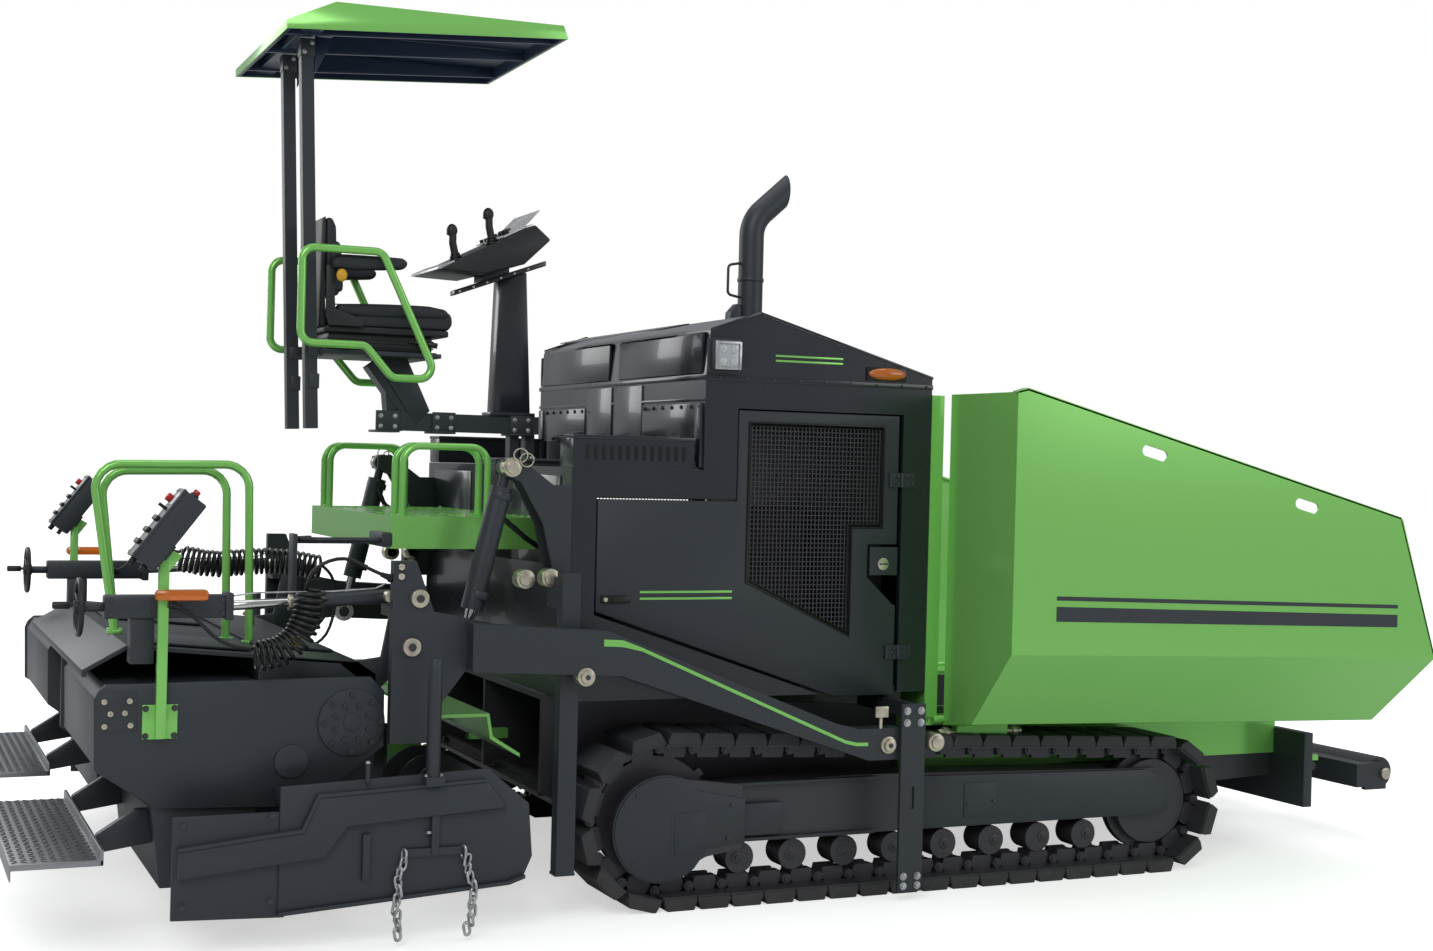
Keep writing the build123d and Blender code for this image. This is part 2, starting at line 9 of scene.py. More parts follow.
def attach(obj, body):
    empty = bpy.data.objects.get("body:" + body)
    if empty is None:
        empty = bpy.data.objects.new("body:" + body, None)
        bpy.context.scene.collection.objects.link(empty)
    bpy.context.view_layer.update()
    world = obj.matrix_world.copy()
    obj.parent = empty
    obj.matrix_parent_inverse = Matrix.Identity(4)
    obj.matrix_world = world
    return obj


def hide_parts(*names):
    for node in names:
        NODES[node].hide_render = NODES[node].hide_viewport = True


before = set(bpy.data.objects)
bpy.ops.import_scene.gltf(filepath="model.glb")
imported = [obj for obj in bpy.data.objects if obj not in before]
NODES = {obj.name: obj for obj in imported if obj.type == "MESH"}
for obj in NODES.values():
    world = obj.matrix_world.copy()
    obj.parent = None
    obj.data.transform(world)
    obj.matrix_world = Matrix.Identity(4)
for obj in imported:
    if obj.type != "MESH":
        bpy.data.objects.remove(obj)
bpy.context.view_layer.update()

bl_info = {
    "name": "Asphalt paver looks",
    "version": (1, 1, 0),
    "blender": (4, 5, 0),
    "location": "View3D > Sidebar > Paver",
    "description": "Finishes, panels, small hardware and the studio round the paver's CAD model",
    "category": "Object",
}

SIDES = (("right", -1), ("left", 1))
MM = 0.001
LEFT_OUT = 650                      # mm that the left extension stands out
STATION_Y = -150                    # mm, middle of seat and console


def out_of(side):
    return LEFT_OUT if side == "left" else 0


# ------------------------------------------------------------------ settings


def colour_property(name, description, value):
    return bpy.props.FloatVectorProperty(
        name=name, description=description, subtype="COLOR", size=3, min=0, max=1, default=value
    )


class PaverColours(bpy.types.PropertyGroup):
    green: colour_property("Green", "Paint of the hopper, rails and posts", (0.105, 0.49, 0.036))
    black: colour_property("Black", "Paint of the doors, arms and screed", (0.012, 0.014, 0.018))
    hood: colour_property("Hood", "Gloss paint of the hood and the deck", (0.015, 0.019, 0.026))
    steel: colour_property("Dark steel", "Paint of the undercarriage", (0.009, 0.010, 0.012))
    # Lining: painted shade, the dark blue-grey of the shade under the canopy laid on its underside as colour
    lining: colour_property("Lining", "Underside of the canopy", (0.020, 0.036, 0.070))
    amber: colour_property("Amber", "Marker lamp lenses", (0.80, 0.20, 0.012))
    zinc: colour_property("Zinc", "Plated pins and bolts", (0.62, 0.58, 0.46))


class PaverSizes(bpy.types.PropertyGroup):
    bolt: bpy.props.FloatProperty(
        name="Bolt", description="Width of the larger screw heads", unit="LENGTH", default=0.018
    )
    small_bolt: bpy.props.FloatProperty(
        name="Small bolt", description="Width of the small hexagon heads", unit="LENGTH", default=0.012
    )
    wire: bpy.props.FloatProperty(
        name="Mesh wire", description="Width of a wire of the door meshes", unit="LENGTH", default=0.0044
    )
    hose: bpy.props.FloatProperty(
        name="Control cable", description="Diameter of the curly control cables", unit="LENGTH", default=0.0135
    )
    shoes: bpy.props.IntProperty(
        name="Track shoes", description="Shoes in each track", min=20, default=44
    )


# ------------------------------------------------------------------ modelling steps


def clear_selection():
    if bpy.context.object and bpy.context.object.mode != "OBJECT":
        bpy.ops.object.mode_set(mode="OBJECT")
    bpy.ops.object.select_all(action="DESELECT")


def pick(piece):
    clear_selection()
    piece.select_set(True)
    bpy.context.view_layer.objects.active = piece


def settle(piece):
    """Move the piece's place, turn and size into its mesh."""
    pick(piece)
    bpy.ops.object.transform_apply(location=True, rotation=True, scale=True)
    return piece


def apply_modifier(piece, modifier):
    pick(piece)
    bpy.ops.object.modifier_apply(modifier=modifier.name)
    return piece


def round_edges(piece, width, segments=2, angle=30):
    bevel = piece.modifiers.new("edges", "BEVEL")
    bevel.width = width
    bevel.segments = segments
    bevel.limit_method = "ANGLE"
    bevel.angle_limit = math.radians(angle)
    bevel.use_clamp_overlap = True
    return apply_modifier(piece, bevel)


def smooth(piece, angle=35):
    pick(piece)
    bpy.ops.object.shade_smooth_by_angle(angle=math.radians(angle))
    return piece


def box(low, high, bevel=0.0, segments=2):
    clear_selection()
    middle = [(a + b) / 2 for a, b in zip(low, high)]
    bpy.ops.mesh.primitive_cube_add(size=1, location=middle)
    piece = bpy.context.object
    piece.scale = [abs(b - a) for a, b in zip(low, high)]
    settle(piece)
    return round_edges(piece, bevel, segments) if bevel else piece


def block(x, y, z, bevel=2.0):
    """A block between two places on each axis, in millimetres."""
    low, high = ([min(a) * MM for a in (x, y, z)], [max(a) * MM for a in (x, y, z)])
    return box(low, high, bevel * MM)


def rod(start, end, radius, sides=24, bevel=0.0, tip=None):
    """A round bar, or a cone where tip gives its far radius."""
    clear_selection()
    start, end = Vector(start), Vector(end)
    way = end - start
    place = {"location": (start + end) / 2, "rotation": way.to_track_quat("Z", "Y").to_euler()}
    if tip is None:
        bpy.ops.mesh.primitive_cylinder_add(
            vertices=sides, radius=radius, depth=way.length, **place
        )
    else:
        bpy.ops.mesh.primitive_cone_add(
            vertices=sides, radius1=radius, radius2=tip, depth=way.length, **place
        )
    piece = settle(bpy.context.object)
    return round_edges(piece, bevel) if bevel else piece


def bar(start, end, radius, bevel=2.0, sides=24):
    """A round bar in millimetres."""
    return rod(Vector(start) * MM, Vector(end) * MM, radius * MM, sides, bevel * MM)


def pin(sign, x, z, near, far, radius, bevel=2.0, sides=24):
    """A round bar across the machine, between two distances out from the centre line."""
    return bar((x, sign * near, z), (x, sign * far, z), radius, bevel, sides)


def ring(centre, axis, radius, thick, sides=28):
    clear_selection()
    turn = Vector(axis).to_track_quat("Z", "Y").to_euler()
    bpy.ops.mesh.primitive_torus_add(
        location=centre, rotation=turn, major_radius=radius, minor_radius=thick,
        major_segments=sides, minor_segments=10,
    )
    return settle(bpy.context.object)


def ball(centre, size):
    clear_selection()
    bpy.ops.mesh.primitive_uv_sphere_add(segments=20, ring_count=12, radius=1, location=centre)
    piece = bpy.context.object
    piece.scale = size
    return settle(piece)


VIEWS = {
    "side": lambda a, b, depth: (a, depth, b),
    "front": lambda a, b, depth: (depth, a, b),
    "top": lambda a, b, depth: (a, b, depth),
}


def plate(outline, view, near, far, bevel=0.0, segments=2):
    """A plate cut to an outline of one view and drawn out from near to far."""
    clear_selection()
    bpy.ops.mesh.primitive_circle_add(vertices=len(outline), fill_type="NGON", radius=1)
    piece = bpy.context.object
    place = VIEWS[view]
    for vertex, (a, b) in zip(piece.data.vertices, outline):
        vertex.co = place(a, b, near)
    piece.location = (0, 0, 0)
    way = Vector(place(0, 0, far - near))
    bpy.ops.object.mode_set(mode="EDIT")
    bpy.ops.mesh.select_all(action="SELECT")
    bpy.ops.mesh.extrude_region_move(TRANSFORM_OT_translate={"value": way})
    bpy.ops.mesh.select_all(action="SELECT")
    bpy.ops.mesh.normals_make_consistent(inside=False)
    bpy.ops.object.mode_set(mode="OBJECT")
    return round_edges(piece, bevel, segments) if bevel else piece


def slab(outline, near, far, bevel=2.0, view="side"):
    """A plate in millimetres, drawn out between two depths."""
    return plate([(a * MM, b * MM) for a, b in outline], view, near * MM, far * MM, bevel * MM)


def side_slabs(outline, sign, near, far, bevel=2.0):
    """A side-view plate between two distances out from the centre line."""
    return slab(outline, sign * near, sign * far, bevel)


def rounded_route(points, bend, steps=6):
    """Rigid tube route with its corners turned to arcs."""
    route = [Vector(points[0])]
    for before, corner, after in zip(points, points[1:], points[2:]):
        corner = Vector(corner)
        to_before = (Vector(before) - corner).normalized()
        to_after = (Vector(after) - corner).normalized()
        half = to_before.angle(to_after) / 2
        reach = bend / math.tan(half)
        start, end = corner + to_before * reach, corner + to_after * reach
        centre = corner + (to_before + to_after).normalized() * (bend / math.sin(half))
        for k in range(steps + 1):
            spoke = (start - centre).lerp(end - centre, k / steps)
            route.append(centre + spoke.normalized() * bend)
    route.append(Vector(points[-1]))
    return route


def tube(points, radius, bend=0.0, cyclic=False, sides=4):
    """A rigid round bar or pipe along points, with its corners bent where bend is given."""
    route = rounded_route(points, bend) if bend else [Vector(p) for p in points]
    curve = bpy.data.curves.new("tube", "CURVE")
    curve.dimensions = "3D"
    spline = curve.splines.new("POLY")
    spline.points.add(len(route) - 1)
    for point, co in zip(spline.points, route):
        point.co = (*co, 1)
    spline.use_cyclic_u = cyclic
    curve.bevel_depth = radius
    curve.bevel_resolution = sides
    curve.use_fill_caps = not cyclic
    piece = bpy.data.objects.new("tube", curve)
    bpy.context.scene.collection.objects.link(piece)
    pick(piece)
    bpy.ops.object.convert(target="MESH")
    return bpy.context.object


def copy_to(piece, matrix):
    twin = piece.copy()
    twin.data = piece.data.copy()
    bpy.context.scene.collection.objects.link(twin)
    twin.data.transform(matrix)
    return twin


def join(pieces):
    clear_selection()
    for piece in pieces:
        piece.select_set(True)
    bpy.context.view_layer.objects.active = pieces[0]
    if len(pieces) > 1:
        bpy.ops.object.join()
    return bpy.context.view_layer.objects.active


def cut(piece, tool, operation="DIFFERENCE"):
    """Take tool's shape out of piece, or keep what both share."""
    hole = piece.modifiers.new("cut", "BOOLEAN")
    hole.operation = operation
    hole.object = tool
    hole.solver = "EXACT"
    apply_modifier(piece, hole)
    bpy.data.objects.remove(tool)
    return piece


def finished(pieces, name, body, finish, smooth_angle=35, replaces=()):
    """Join pieces into one named piece with its finish, riding on a body."""
    piece = join(pieces if isinstance(pieces, list) else [pieces])
    piece.name = name
    piece.data.name = name
    piece.data.materials.clear()
    piece.data.materials.append(bpy.data.materials[finish])
    if smooth_angle:
        smooth(piece, smooth_angle)
    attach(piece, body)
    if replaces:
        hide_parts(*replaces)
    return piece


def bolt_head(size, washer=True):
    """A hexagon head on its washer, standing along Z from the origin."""
    head = rod((0, 0, 0), (0, 0, size * 0.55), size * 0.58, sides=6, bevel=size * 0.05)
    if not washer:
        return head
    return join([head, rod((0, 0, 0), (0, 0, size * 0.14), size * 0.8, sides=14)])


def cap_screw(size):
    """A round socket head, standing along Z from the origin."""
    head = rod((0, 0, 0), (0, 0, size * 0.6), size * 0.5, sides=16, bevel=size * 0.06)
    return cut(head, rod((0, 0, size * 0.3), (0, 0, size), size * 0.26, sides=6))


def placed(template, places, axis):
    """Copies of a template at each place in millimetres, standing along axis."""
    turn = Vector(axis).to_track_quat("Z", "Y").to_matrix().to_4x4()
    copies = [copy_to(template, Matrix.Translation(Vector(p) * MM) @ turn) for p in places]
    bpy.data.objects.remove(template)
    return join(copies)


def bolts(name, body, finish, size, spots, axis, washer=True):
    """Hexagon heads at spots in millimetres, standing along axis."""
    return finished(placed(bolt_head(size, washer), spots, axis), name, body, finish)


def screws(name, body, finish, size, spots, axis):
    """Socket heads at spots in millimetres, standing along axis."""
    return finished(placed(cap_screw(size), spots, axis), name, body, finish)


def tube_mm(points, y, radius, bend=0.0, cyclic=False, sides=4):
    """A tube in one side-view plane: X and Z in millimetres, y in metres."""
    return tube([(x * MM, y, z * MM) for x, z in points], radius, bend, cyclic, sides)


def lozenges(size, rows, columns, place_of):
    """Raised lozenges of a tread plate, turned to and fro."""
    half_long, half_wide, height = size
    template = box((-half_long, -half_wide, -0.001), (half_long, half_wide, height))
    studs = []
    for row in range(rows):
        for column in range(columns):
            turn = 45 if (row + column) % 2 else -45
            place = Matrix.Translation(place_of(row, column))
            studs.append(copy_to(template, place @ Matrix.Rotation(math.radians(turn), 4, "Z")))
    bpy.data.objects.remove(template)
    return studs


# ------------------------------------------------------------------ finishes


def links_of(material):
    tree = material.node_tree
    return tree.nodes, tree.links


def add_node(nodes, kind, **values):
    node = nodes.new(kind)
    for key, value in values.items():
        if key in node.inputs:
            node.inputs[key].default_value = value
        else:
            setattr(node, key, value)
    return node


def map_range(nodes, low, high, to_low=0.0, to_high=1.0):
    node = nodes.new("ShaderNodeMapRange")
    for key, value in (
        ("From Min", low), ("From Max", high), ("To Min", to_low), ("To Max", to_high)
    ):
        node.inputs[key].default_value = value
    return node


def mixed(nodes, links, factor, first, second, blend="MIX"):
    """Mix of two colours; a colour given as numbers is set on its socket."""
    node = add_node(nodes, "ShaderNodeMix", data_type="RGBA", blend_type=blend)
    for socket, value in (
        (node.inputs[0], factor), (node.inputs[6], first), (node.inputs[7], second)
    ):
        if hasattr(value, "is_linked") or isinstance(value, bpy.types.NodeSocket):
            links.new(value, socket)
        else:
            socket.default_value = value
    return node.outputs[2]


def make_finish(name, colour, roughness, metallic=0.0, coat=0.0, mottle=0.12, mottle_size=3.0,
                grain=0.0, grain_size=400.0, dust=0.0, dust_height=0.5, scuff=0.0):
    """A painted, plated or moulded finish with mottling, grain, dust low down and scuffs."""
    material = bpy.data.materials.new(name)
    material.use_nodes = True
    nodes, links = links_of(material)
    shader = nodes["Principled BSDF"]
    shader.inputs["Metallic"].default_value = metallic
    shader.inputs["Coat Weight"].default_value = coat
    shader.inputs["Coat Roughness"].default_value = 0.06
    place = add_node(nodes, "ShaderNodeTexCoord").outputs["Object"]
    cloud = add_node(nodes, "ShaderNodeTexNoise", Scale=mottle_size, Detail=4.0)
    links.new(place, cloud.inputs["Vector"])
    spread = map_range(nodes, 0.3, 0.7, 1 - mottle, 1 + mottle)
    links.new(cloud.outputs["Fac"], spread.inputs["Value"])
    tint = mixed(nodes, links, 1.0, (*colour, 1), spread.outputs["Result"], "MULTIPLY")
    rough = add_node(nodes, "ShaderNodeMath", operation="MULTIPLY_ADD")
    links.new(cloud.outputs["Fac"], rough.inputs[0])
    rough.inputs[1].default_value = roughness * 0.5
    rough.inputs[2].default_value = roughness * 0.75
    if scuff:
        scratch = add_node(nodes, "ShaderNodeTexNoise", Scale=9.0, Detail=12.0, Roughness=0.75)
        links.new(place, scratch.inputs["Vector"])
        band = map_range(nodes, 0.6, 0.72, 0.0, scuff)
        links.new(scratch.outputs["Fac"], band.inputs["Value"])
        tint = mixed(nodes, links, band.outputs["Result"], tint, (0.16, 0.15, 0.14, 1))
    if dust:
        split = add_node(nodes, "ShaderNodeSeparateXYZ")
        links.new(place, split.inputs["Vector"])
        low = map_range(nodes, dust_height, 0.0, 0.0, dust)
        links.new(split.outputs["Z"], low.inputs["Value"])
        patch = add_node(nodes, "ShaderNodeTexNoise", Scale=14.0, Detail=8.0)
        links.new(place, patch.inputs["Vector"])
        amount = add_node(nodes, "ShaderNodeMath", operation="MULTIPLY")
        links.new(low.outputs["Result"], amount.inputs[0])
        links.new(patch.outputs["Fac"], amount.inputs[1])
        tint = mixed(nodes, links, amount.outputs[0], tint, (0.20, 0.18, 0.15, 1))
    links.new(tint, shader.inputs["Base Color"])
    links.new(rough.outputs[0], shader.inputs["Roughness"])
    if grain:
        fine = add_node(nodes, "ShaderNodeTexNoise", Scale=grain_size, Detail=2.0)
        links.new(place, fine.inputs["Vector"])
        bump = add_node(nodes, "ShaderNodeBump", Strength=grain, Distance=0.001)
        links.new(fine.outputs["Fac"], bump.inputs["Height"])
        links.new(bump.outputs["Normal"], shader.inputs["Normal"])
    return material


def make_lens(name, colour):
    """A coated lens that lets some light through."""
    material = make_finish(name, colour, 0.12, coat=0.6, mottle=0.05)
    shader = material.node_tree.nodes["Principled BSDF"]
    shader.inputs["Transmission Weight"].default_value = 0.35
    shader.inputs["IOR"].default_value = 1.49
    return material


NODE_FINISH = {
    "green_paint": (
        "hopper_wing_right", "hopper_wing_left", "hopper_frame", "hand_rails", "canopy",
        "control_post_right", "control_post_left", "guard_hoops", "step_platform", "auger_frame",
    ),
    "hood_paint": ("engine_housing", "roof", "tool_trays"),
    "black_paint": (
        "side_door_right", "side_door_left", "console_column", "station_frame", "canopy_posts",
        "lift_brackets", "level_arm_right", "level_arm_left", "arm_guides", "screed",
        "screed_extension_right", "screed_extension_left", "end_gate_right", "end_gate_left",
        "thickness_screws", "lift_barrel_right", "lift_barrel_left", "exhaust_stack", "console",
        "push_beam",
    ),
    "dark_steel": (
        "track_frame_right", "track_frame_left", "chassis", "conveyor_floor", "conveyor_chains",
        "tunnel_cover", "engine", "radiator", "sprockets", "idlers_and_rollers", "auger_right",
        "auger_left", "push_roller_right", "push_roller_left", "door_grille_right",
        "door_grille_left",
    ),
    "tread_plate": ("walkways",),
    "track_pad": ("track_right", "track_left"),
    "chrome": ("lift_rod_right", "lift_rod_left"),
    "plastic": ("seat_base",),
    "seat_vinyl": ("seat_cushion", "seat_back"),
}


# finish, its colour or the setting that holds it, roughness, and the rest of make_finish
FINISHES = (
    (
        "green_paint", "green", 0.38,
        {"coat": 0.06, "mottle": 0.05, "mottle_size": 1.2, "grain": 0.03, "grain_size": 250}
    ),
    (
        "black_paint", "black", 0.38,
        {
            "coat": 0.12, "mottle": 0.12, "grain": 0.08, "grain_size": 300, "dust": 0.10,
            "dust_height": 0.9
        }
    ),
    ("hood_paint", "hood", 0.26, {"coat": 0.35, "mottle": 0.08, "grain": 0.02, "grain_size": 200}),
    (
        "dark_steel", "steel", 0.46,
        {
            "mottle": 0.25, "grain": 0.25, "grain_size": 220, "dust": 0.25, "dust_height": 0.8,
            "scuff": 0.12
        }
    ),
    (
        "track_pad", (0.020, 0.022, 0.027), 0.55,
        {
            "mottle": 0.35, "grain": 0.5, "grain_size": 160, "dust": 0.22, "dust_height": 0.9,
            "scuff": 0.4
        }
    ),
    ("rubber", (0.008, 0.008, 0.009), 0.34, {"mottle": 0.15, "grain": 0.1}),
    ("plastic", (0.012, 0.013, 0.015), 0.45, {"mottle": 0.1, "grain": 0.3, "grain_size": 500}),
    ("seat_vinyl", (0.014, 0.018, 0.023), 0.55, {"mottle": 0.2, "grain": 0.6, "grain_size": 350}),
    ("seat_piping", (0.008, 0.009, 0.011), 0.4, {"mottle": 0.1, "grain": 0.2, "grain_size": 400}),
    ("zinc", "zinc", 0.34, {"metallic": 0.85, "mottle": 0.18, "mottle_size": 25}),
    ("brass", (0.52, 0.34, 0.10), 0.3, {"metallic": 0.9, "mottle": 0.15, "mottle_size": 30}),
    ("galvanised", (0.55, 0.56, 0.57), 0.36, {"metallic": 0.9, "mottle": 0.25, "mottle_size": 40}),
    ("chrome", (0.62, 0.63, 0.62), 0.12, {"metallic": 1.0, "mottle": 0.05}),
    # Painted shade: the canopy's underside, coloured dark blue-grey for the shade under the roof
    ("lining_paint", "lining", 0.35, {"coat": 0.2, "mottle": 0.1}),
    ("white_panel", (0.62, 0.64, 0.64), 0.3, {"mottle": 0.05}),
    ("red_button", (0.55, 0.015, 0.01), 0.3, {"coat": 0.3, "mottle": 0.04}),
    ("yellow_knob", (0.72, 0.38, 0.02), 0.4, {"mottle": 0.06}),
    # Black of the dark joints between panels, and painted shade in the trays' vent slots
    ("seam", (0.003, 0.003, 0.003), 0.7, {"mottle": 0.02}),
    (
        "tread_plate", (0.085, 0.092, 0.10), 0.34,
        {"metallic": 0.6, "mottle": 0.3, "grain": 0.2, "grain_size": 150, "scuff": 0.3}
    ),
)


def make_all_finishes(colours):
    for name, colour, roughness, rest in FINISHES:
        if isinstance(colour, str):
            colour = getattr(colours, colour)[:]
        make_finish(name, colour, roughness, **rest)
    make_lens("amber_lens", colours.amber[:])
    make_lens("clear_lens", (0.70, 0.73, 0.75))


def finish_nodes():
    """Give each CAD node its finish."""
    for finish, names in NODE_FINISH.items():
        for name in names:
            for place in NODES[name].material_slots:
                place.material = bpy.data.materials[finish]
            if not NODES[name].material_slots:
                NODES[name].data.materials.append(bpy.data.materials[finish])


# ------------------------------------------------------------------ studio

CAMERA_PLACE = (-3.65, -7.914, 1.745)
CAMERA_LENS = 47.64                 # mm, on a sensor 36 mm wide
FLOOR_FADE = (2.5, 6.0)             # m from the origin, where the floor turns to plain white
FLOOR_GLOW = 0.56                   # its own light under the machine
SKY_LIGHT = 0.36                    # what the white world lends to surfaces
CAMERA_TURN = (24.49, -0.321, -1.453)     # degrees: yaw from +Y, pitch, roll
LAMPS = (
    ("key", (-5.5, -8.5, 7.5), (0, 0, 1.0), 5.0, 290),
    ("fill", (7.0, -7.0, 4.5), (0.5, 0, 1.0), 5.0, 135),
    ("top", (0, 0.5, 9.0), (0, 0, 1.0), 7.0, 190),
    ("back", (-6.0, 7.0, 5.0), (0, 0, 1.0), 5.0, 220),
)


def seen_directly(nodes, links):
    """1 for camera and transmission rays, so that the paint does not mirror the white."""
    path = nodes.new("ShaderNodeLightPath")
    either = add_node(nodes, "ShaderNodeMath", operation="MAXIMUM")
    links.new(path.outputs["Is Camera Ray"], either.inputs[0])
    links.new(path.outputs["Is Transmission Ray"], either.inputs[1])
    return either.outputs[0]


def build_floor():
    """A pale floor that turns to plain white away from the machine and keeps its shadow."""
    clear_selection()
    bpy.ops.mesh.primitive_plane_add(size=160, location=(0, 0, 0))
    floor = bpy.context.object
    floor.name = "studio_floor"
    material = bpy.data.materials.new("studio_floor")
    material.use_nodes = True
    nodes, links = links_of(material)
    shader = nodes["Principled BSDF"]
    shader.inputs["Base Color"].default_value = (0.86, 0.86, 0.86, 1)
    shader.inputs["Roughness"].default_value = 0.9
    place = nodes.new("ShaderNodeTexCoord")
    reach = add_node(nodes, "ShaderNodeVectorMath", operation="LENGTH")
    links.new(place.outputs["Object"], reach.inputs[0])
    glow = map_range(nodes, *FLOOR_FADE, FLOOR_GLOW, 1.0)
    links.new(reach.outputs["Value"], glow.inputs["Value"])
    shown = add_node(nodes, "ShaderNodeMath", operation="MULTIPLY")
    links.new(glow.outputs["Result"], shown.inputs[0])
    links.new(seen_directly(nodes, links), shown.inputs[1])
    white = nodes.new("ShaderNodeEmission")
    links.new(shown.outputs[0], white.inputs["Strength"])
    both = nodes.new("ShaderNodeAddShader")
    links.new(shader.outputs[0], both.inputs[0])
    links.new(white.outputs[0], both.inputs[1])
    links.new(both.outputs[0], nodes["Material Output"].inputs["Surface"])
    floor.data.materials.append(material)


def build_stage():
    """Floor, white world, lamps and camera."""
    build_floor()
    world = bpy.data.worlds.new("studio")
    bpy.context.scene.world = world
    world.use_nodes = True
    nodes, links = links_of(world)
    seen = nodes["Background"]
    seen.inputs["Color"].default_value = (1, 1, 1, 1)
    seen.inputs["Strength"].default_value = 1.0
    lit = nodes.new("ShaderNodeBackground")
    lit.inputs["Color"].default_value = (0.93, 0.96, 1, 1)
    lit.inputs["Strength"].default_value = SKY_LIGHT
    choice = nodes.new("ShaderNodeMixShader")
    links.new(seen_directly(nodes, links), choice.inputs["Fac"])
    links.new(lit.outputs[0], choice.inputs[1])
    links.new(seen.outputs[0], choice.inputs[2])
    links.new(choice.outputs[0], nodes["World Output"].inputs["Surface"])
    for name, place, aim, size, power in LAMPS:
        lamp = bpy.data.lights.new(name, "AREA")
        lamp.energy = power
        lamp.shape = "SQUARE"
        lamp.size = size
        holder = bpy.data.objects.new(name, lamp)
        holder.location = place
        holder.rotation_euler = (Vector(aim) - Vector(place)).to_track_quat("-Z", "Y").to_euler()
        bpy.context.scene.collection.objects.link(holder)
    yaw, pitch, roll = map(math.radians, CAMERA_TURN)
    ahead = Vector((
        math.sin(yaw) * math.cos(pitch), math.cos(yaw) * math.cos(pitch), math.sin(pitch)
    ))
    right = Vector((math.cos(yaw), -math.sin(yaw), 0))
    up = right.cross(ahead)
    right, up = right * math.cos(roll) - up * math.sin(roll), up * math.cos(roll) + right * math.sin(roll)
    lens = bpy.data.cameras.new("camera")
    lens.lens = CAMERA_LENS
    lens.sensor_width = 36
    lens.clip_end = 300
    camera = bpy.data.objects.new("camera", lens)
    camera.location = CAMERA_PLACE
    camera.rotation_euler = Matrix((right, up, -ahead)).transposed().to_euler()
    bpy.context.scene.collection.objects.link(camera)
    bpy.context.scene.camera = camera
    bpy.context.scene.view_settings.view_transform = "Standard"


# ------------------------------------------------------------------ control cables

CABLES = {
    "right": {
        "lead_in": ((-2.6382, -1.150, 1.215), (-2.570, -1.150, 1.190), (-2.470, -1.150, 1.075)),
        "curl": ((-2.350, -1.150, 1.030), (-2.155, -1.150, 1.022), (-2.148, -1.150, 1.262)),
        "lead_out": (
            (-2.142, -1.150, 1.345), (-2.030, -1.149, 1.385), (-1.930, -1.148, 1.330),
            (-1.8588, -1.147, 1.303)
        ),
        "turns": 16, "length": 5.7,
    },
    "left": {
        "lead_in": (
            (-2.557, 1.018, 1.200), (-2.556, 0.860, 1.208), (-2.520, 0.540, 1.300),
            (-2.478, 0.280, 1.342)
        ),
        "curl": (
            (-2.410, 0.180, 1.305), (-2.277, 0.180, 1.268), (-2.120, 0.192, 1.290),
            (-1.960, 0.182, 1.288), (-1.815, 0.180, 1.258)
        ),
        "lead_out": (
            (-1.752, 0.180, 1.215), (-1.748, 0.180, 1.070), (-1.795, 0.180, 0.940),
            (-1.8632, 0.180, 0.922)
        ),
        "turns": 27, "length": 9.74,
    },
}
CURL_RADIUS = 0.052
TURN_STEPS = 12


def nurbs_curve(name, points):
    """A curve through a route: one NURBS spline with the route's points as its control points."""
    curve = bpy.data.curves.new(name, "CURVE")
    curve.dimensions = "3D"
    spline = curve.splines.new("NURBS")
    spline.points.add(len(points) - 1)
    for point, co in zip(spline.points, points):
        point.co = (*co, 1)
    spline.order_u = 3
    spline.use_endpoint_u = True
    curve.resolution_u = 4
    spline.resolution_u = 4
    piece = bpy.data.objects.new(name, curve)
    bpy.context.scene.collection.objects.link(piece)
    return piece


def line_of(points):
    """Points of the route's own smooth line."""
    guide = nurbs_curve("guide", points)
    guide.data.splines[0].resolution_u = 40
    mesh = bpy.data.meshes.new_from_object(guide)
    line = [vertex.co.copy() for vertex in mesh.vertices]
    bpy.data.meshes.remove(mesh)
    bpy.data.objects.remove(guide)
    return line


def along(line, share):
    """Place and heading at a share of a line's length."""
    steps = [(b - a).length for a, b in zip(line, line[1:])]
    left = share * sum(steps)
    for k, step in enumerate(steps):
        if left <= step or k == len(steps) - 1:
            way = line[k + 1] - line[k]
            return line[k] + way * min(1.0, left / step), way.normalized()
        left -= step


def curl_points(curl, turns):
    """Helix round a cable's curled length, drawn in at both ends."""
    line = line_of(curl)
    count = turns * TURN_STEPS
    side = along(line, 0)[1].orthogonal().normalized()
    points = []
    for k in range(count + 1):
        centre, heading = along(line, k / count)
        side = (side - heading * side.dot(heading)).normalized()
        turn = 2 * math.pi * k / TURN_STEPS
        ends = min(1.0, 0.5 + k / TURN_STEPS, 0.5 + (count - k) / TURN_STEPS)
        radius = CURL_RADIUS * ends * (1 + 0.025 * math.sin(k * 0.37))
        points.append(centre + (side * math.cos(turn) + heading.cross(side) * math.sin(turn)) * radius)
    return points


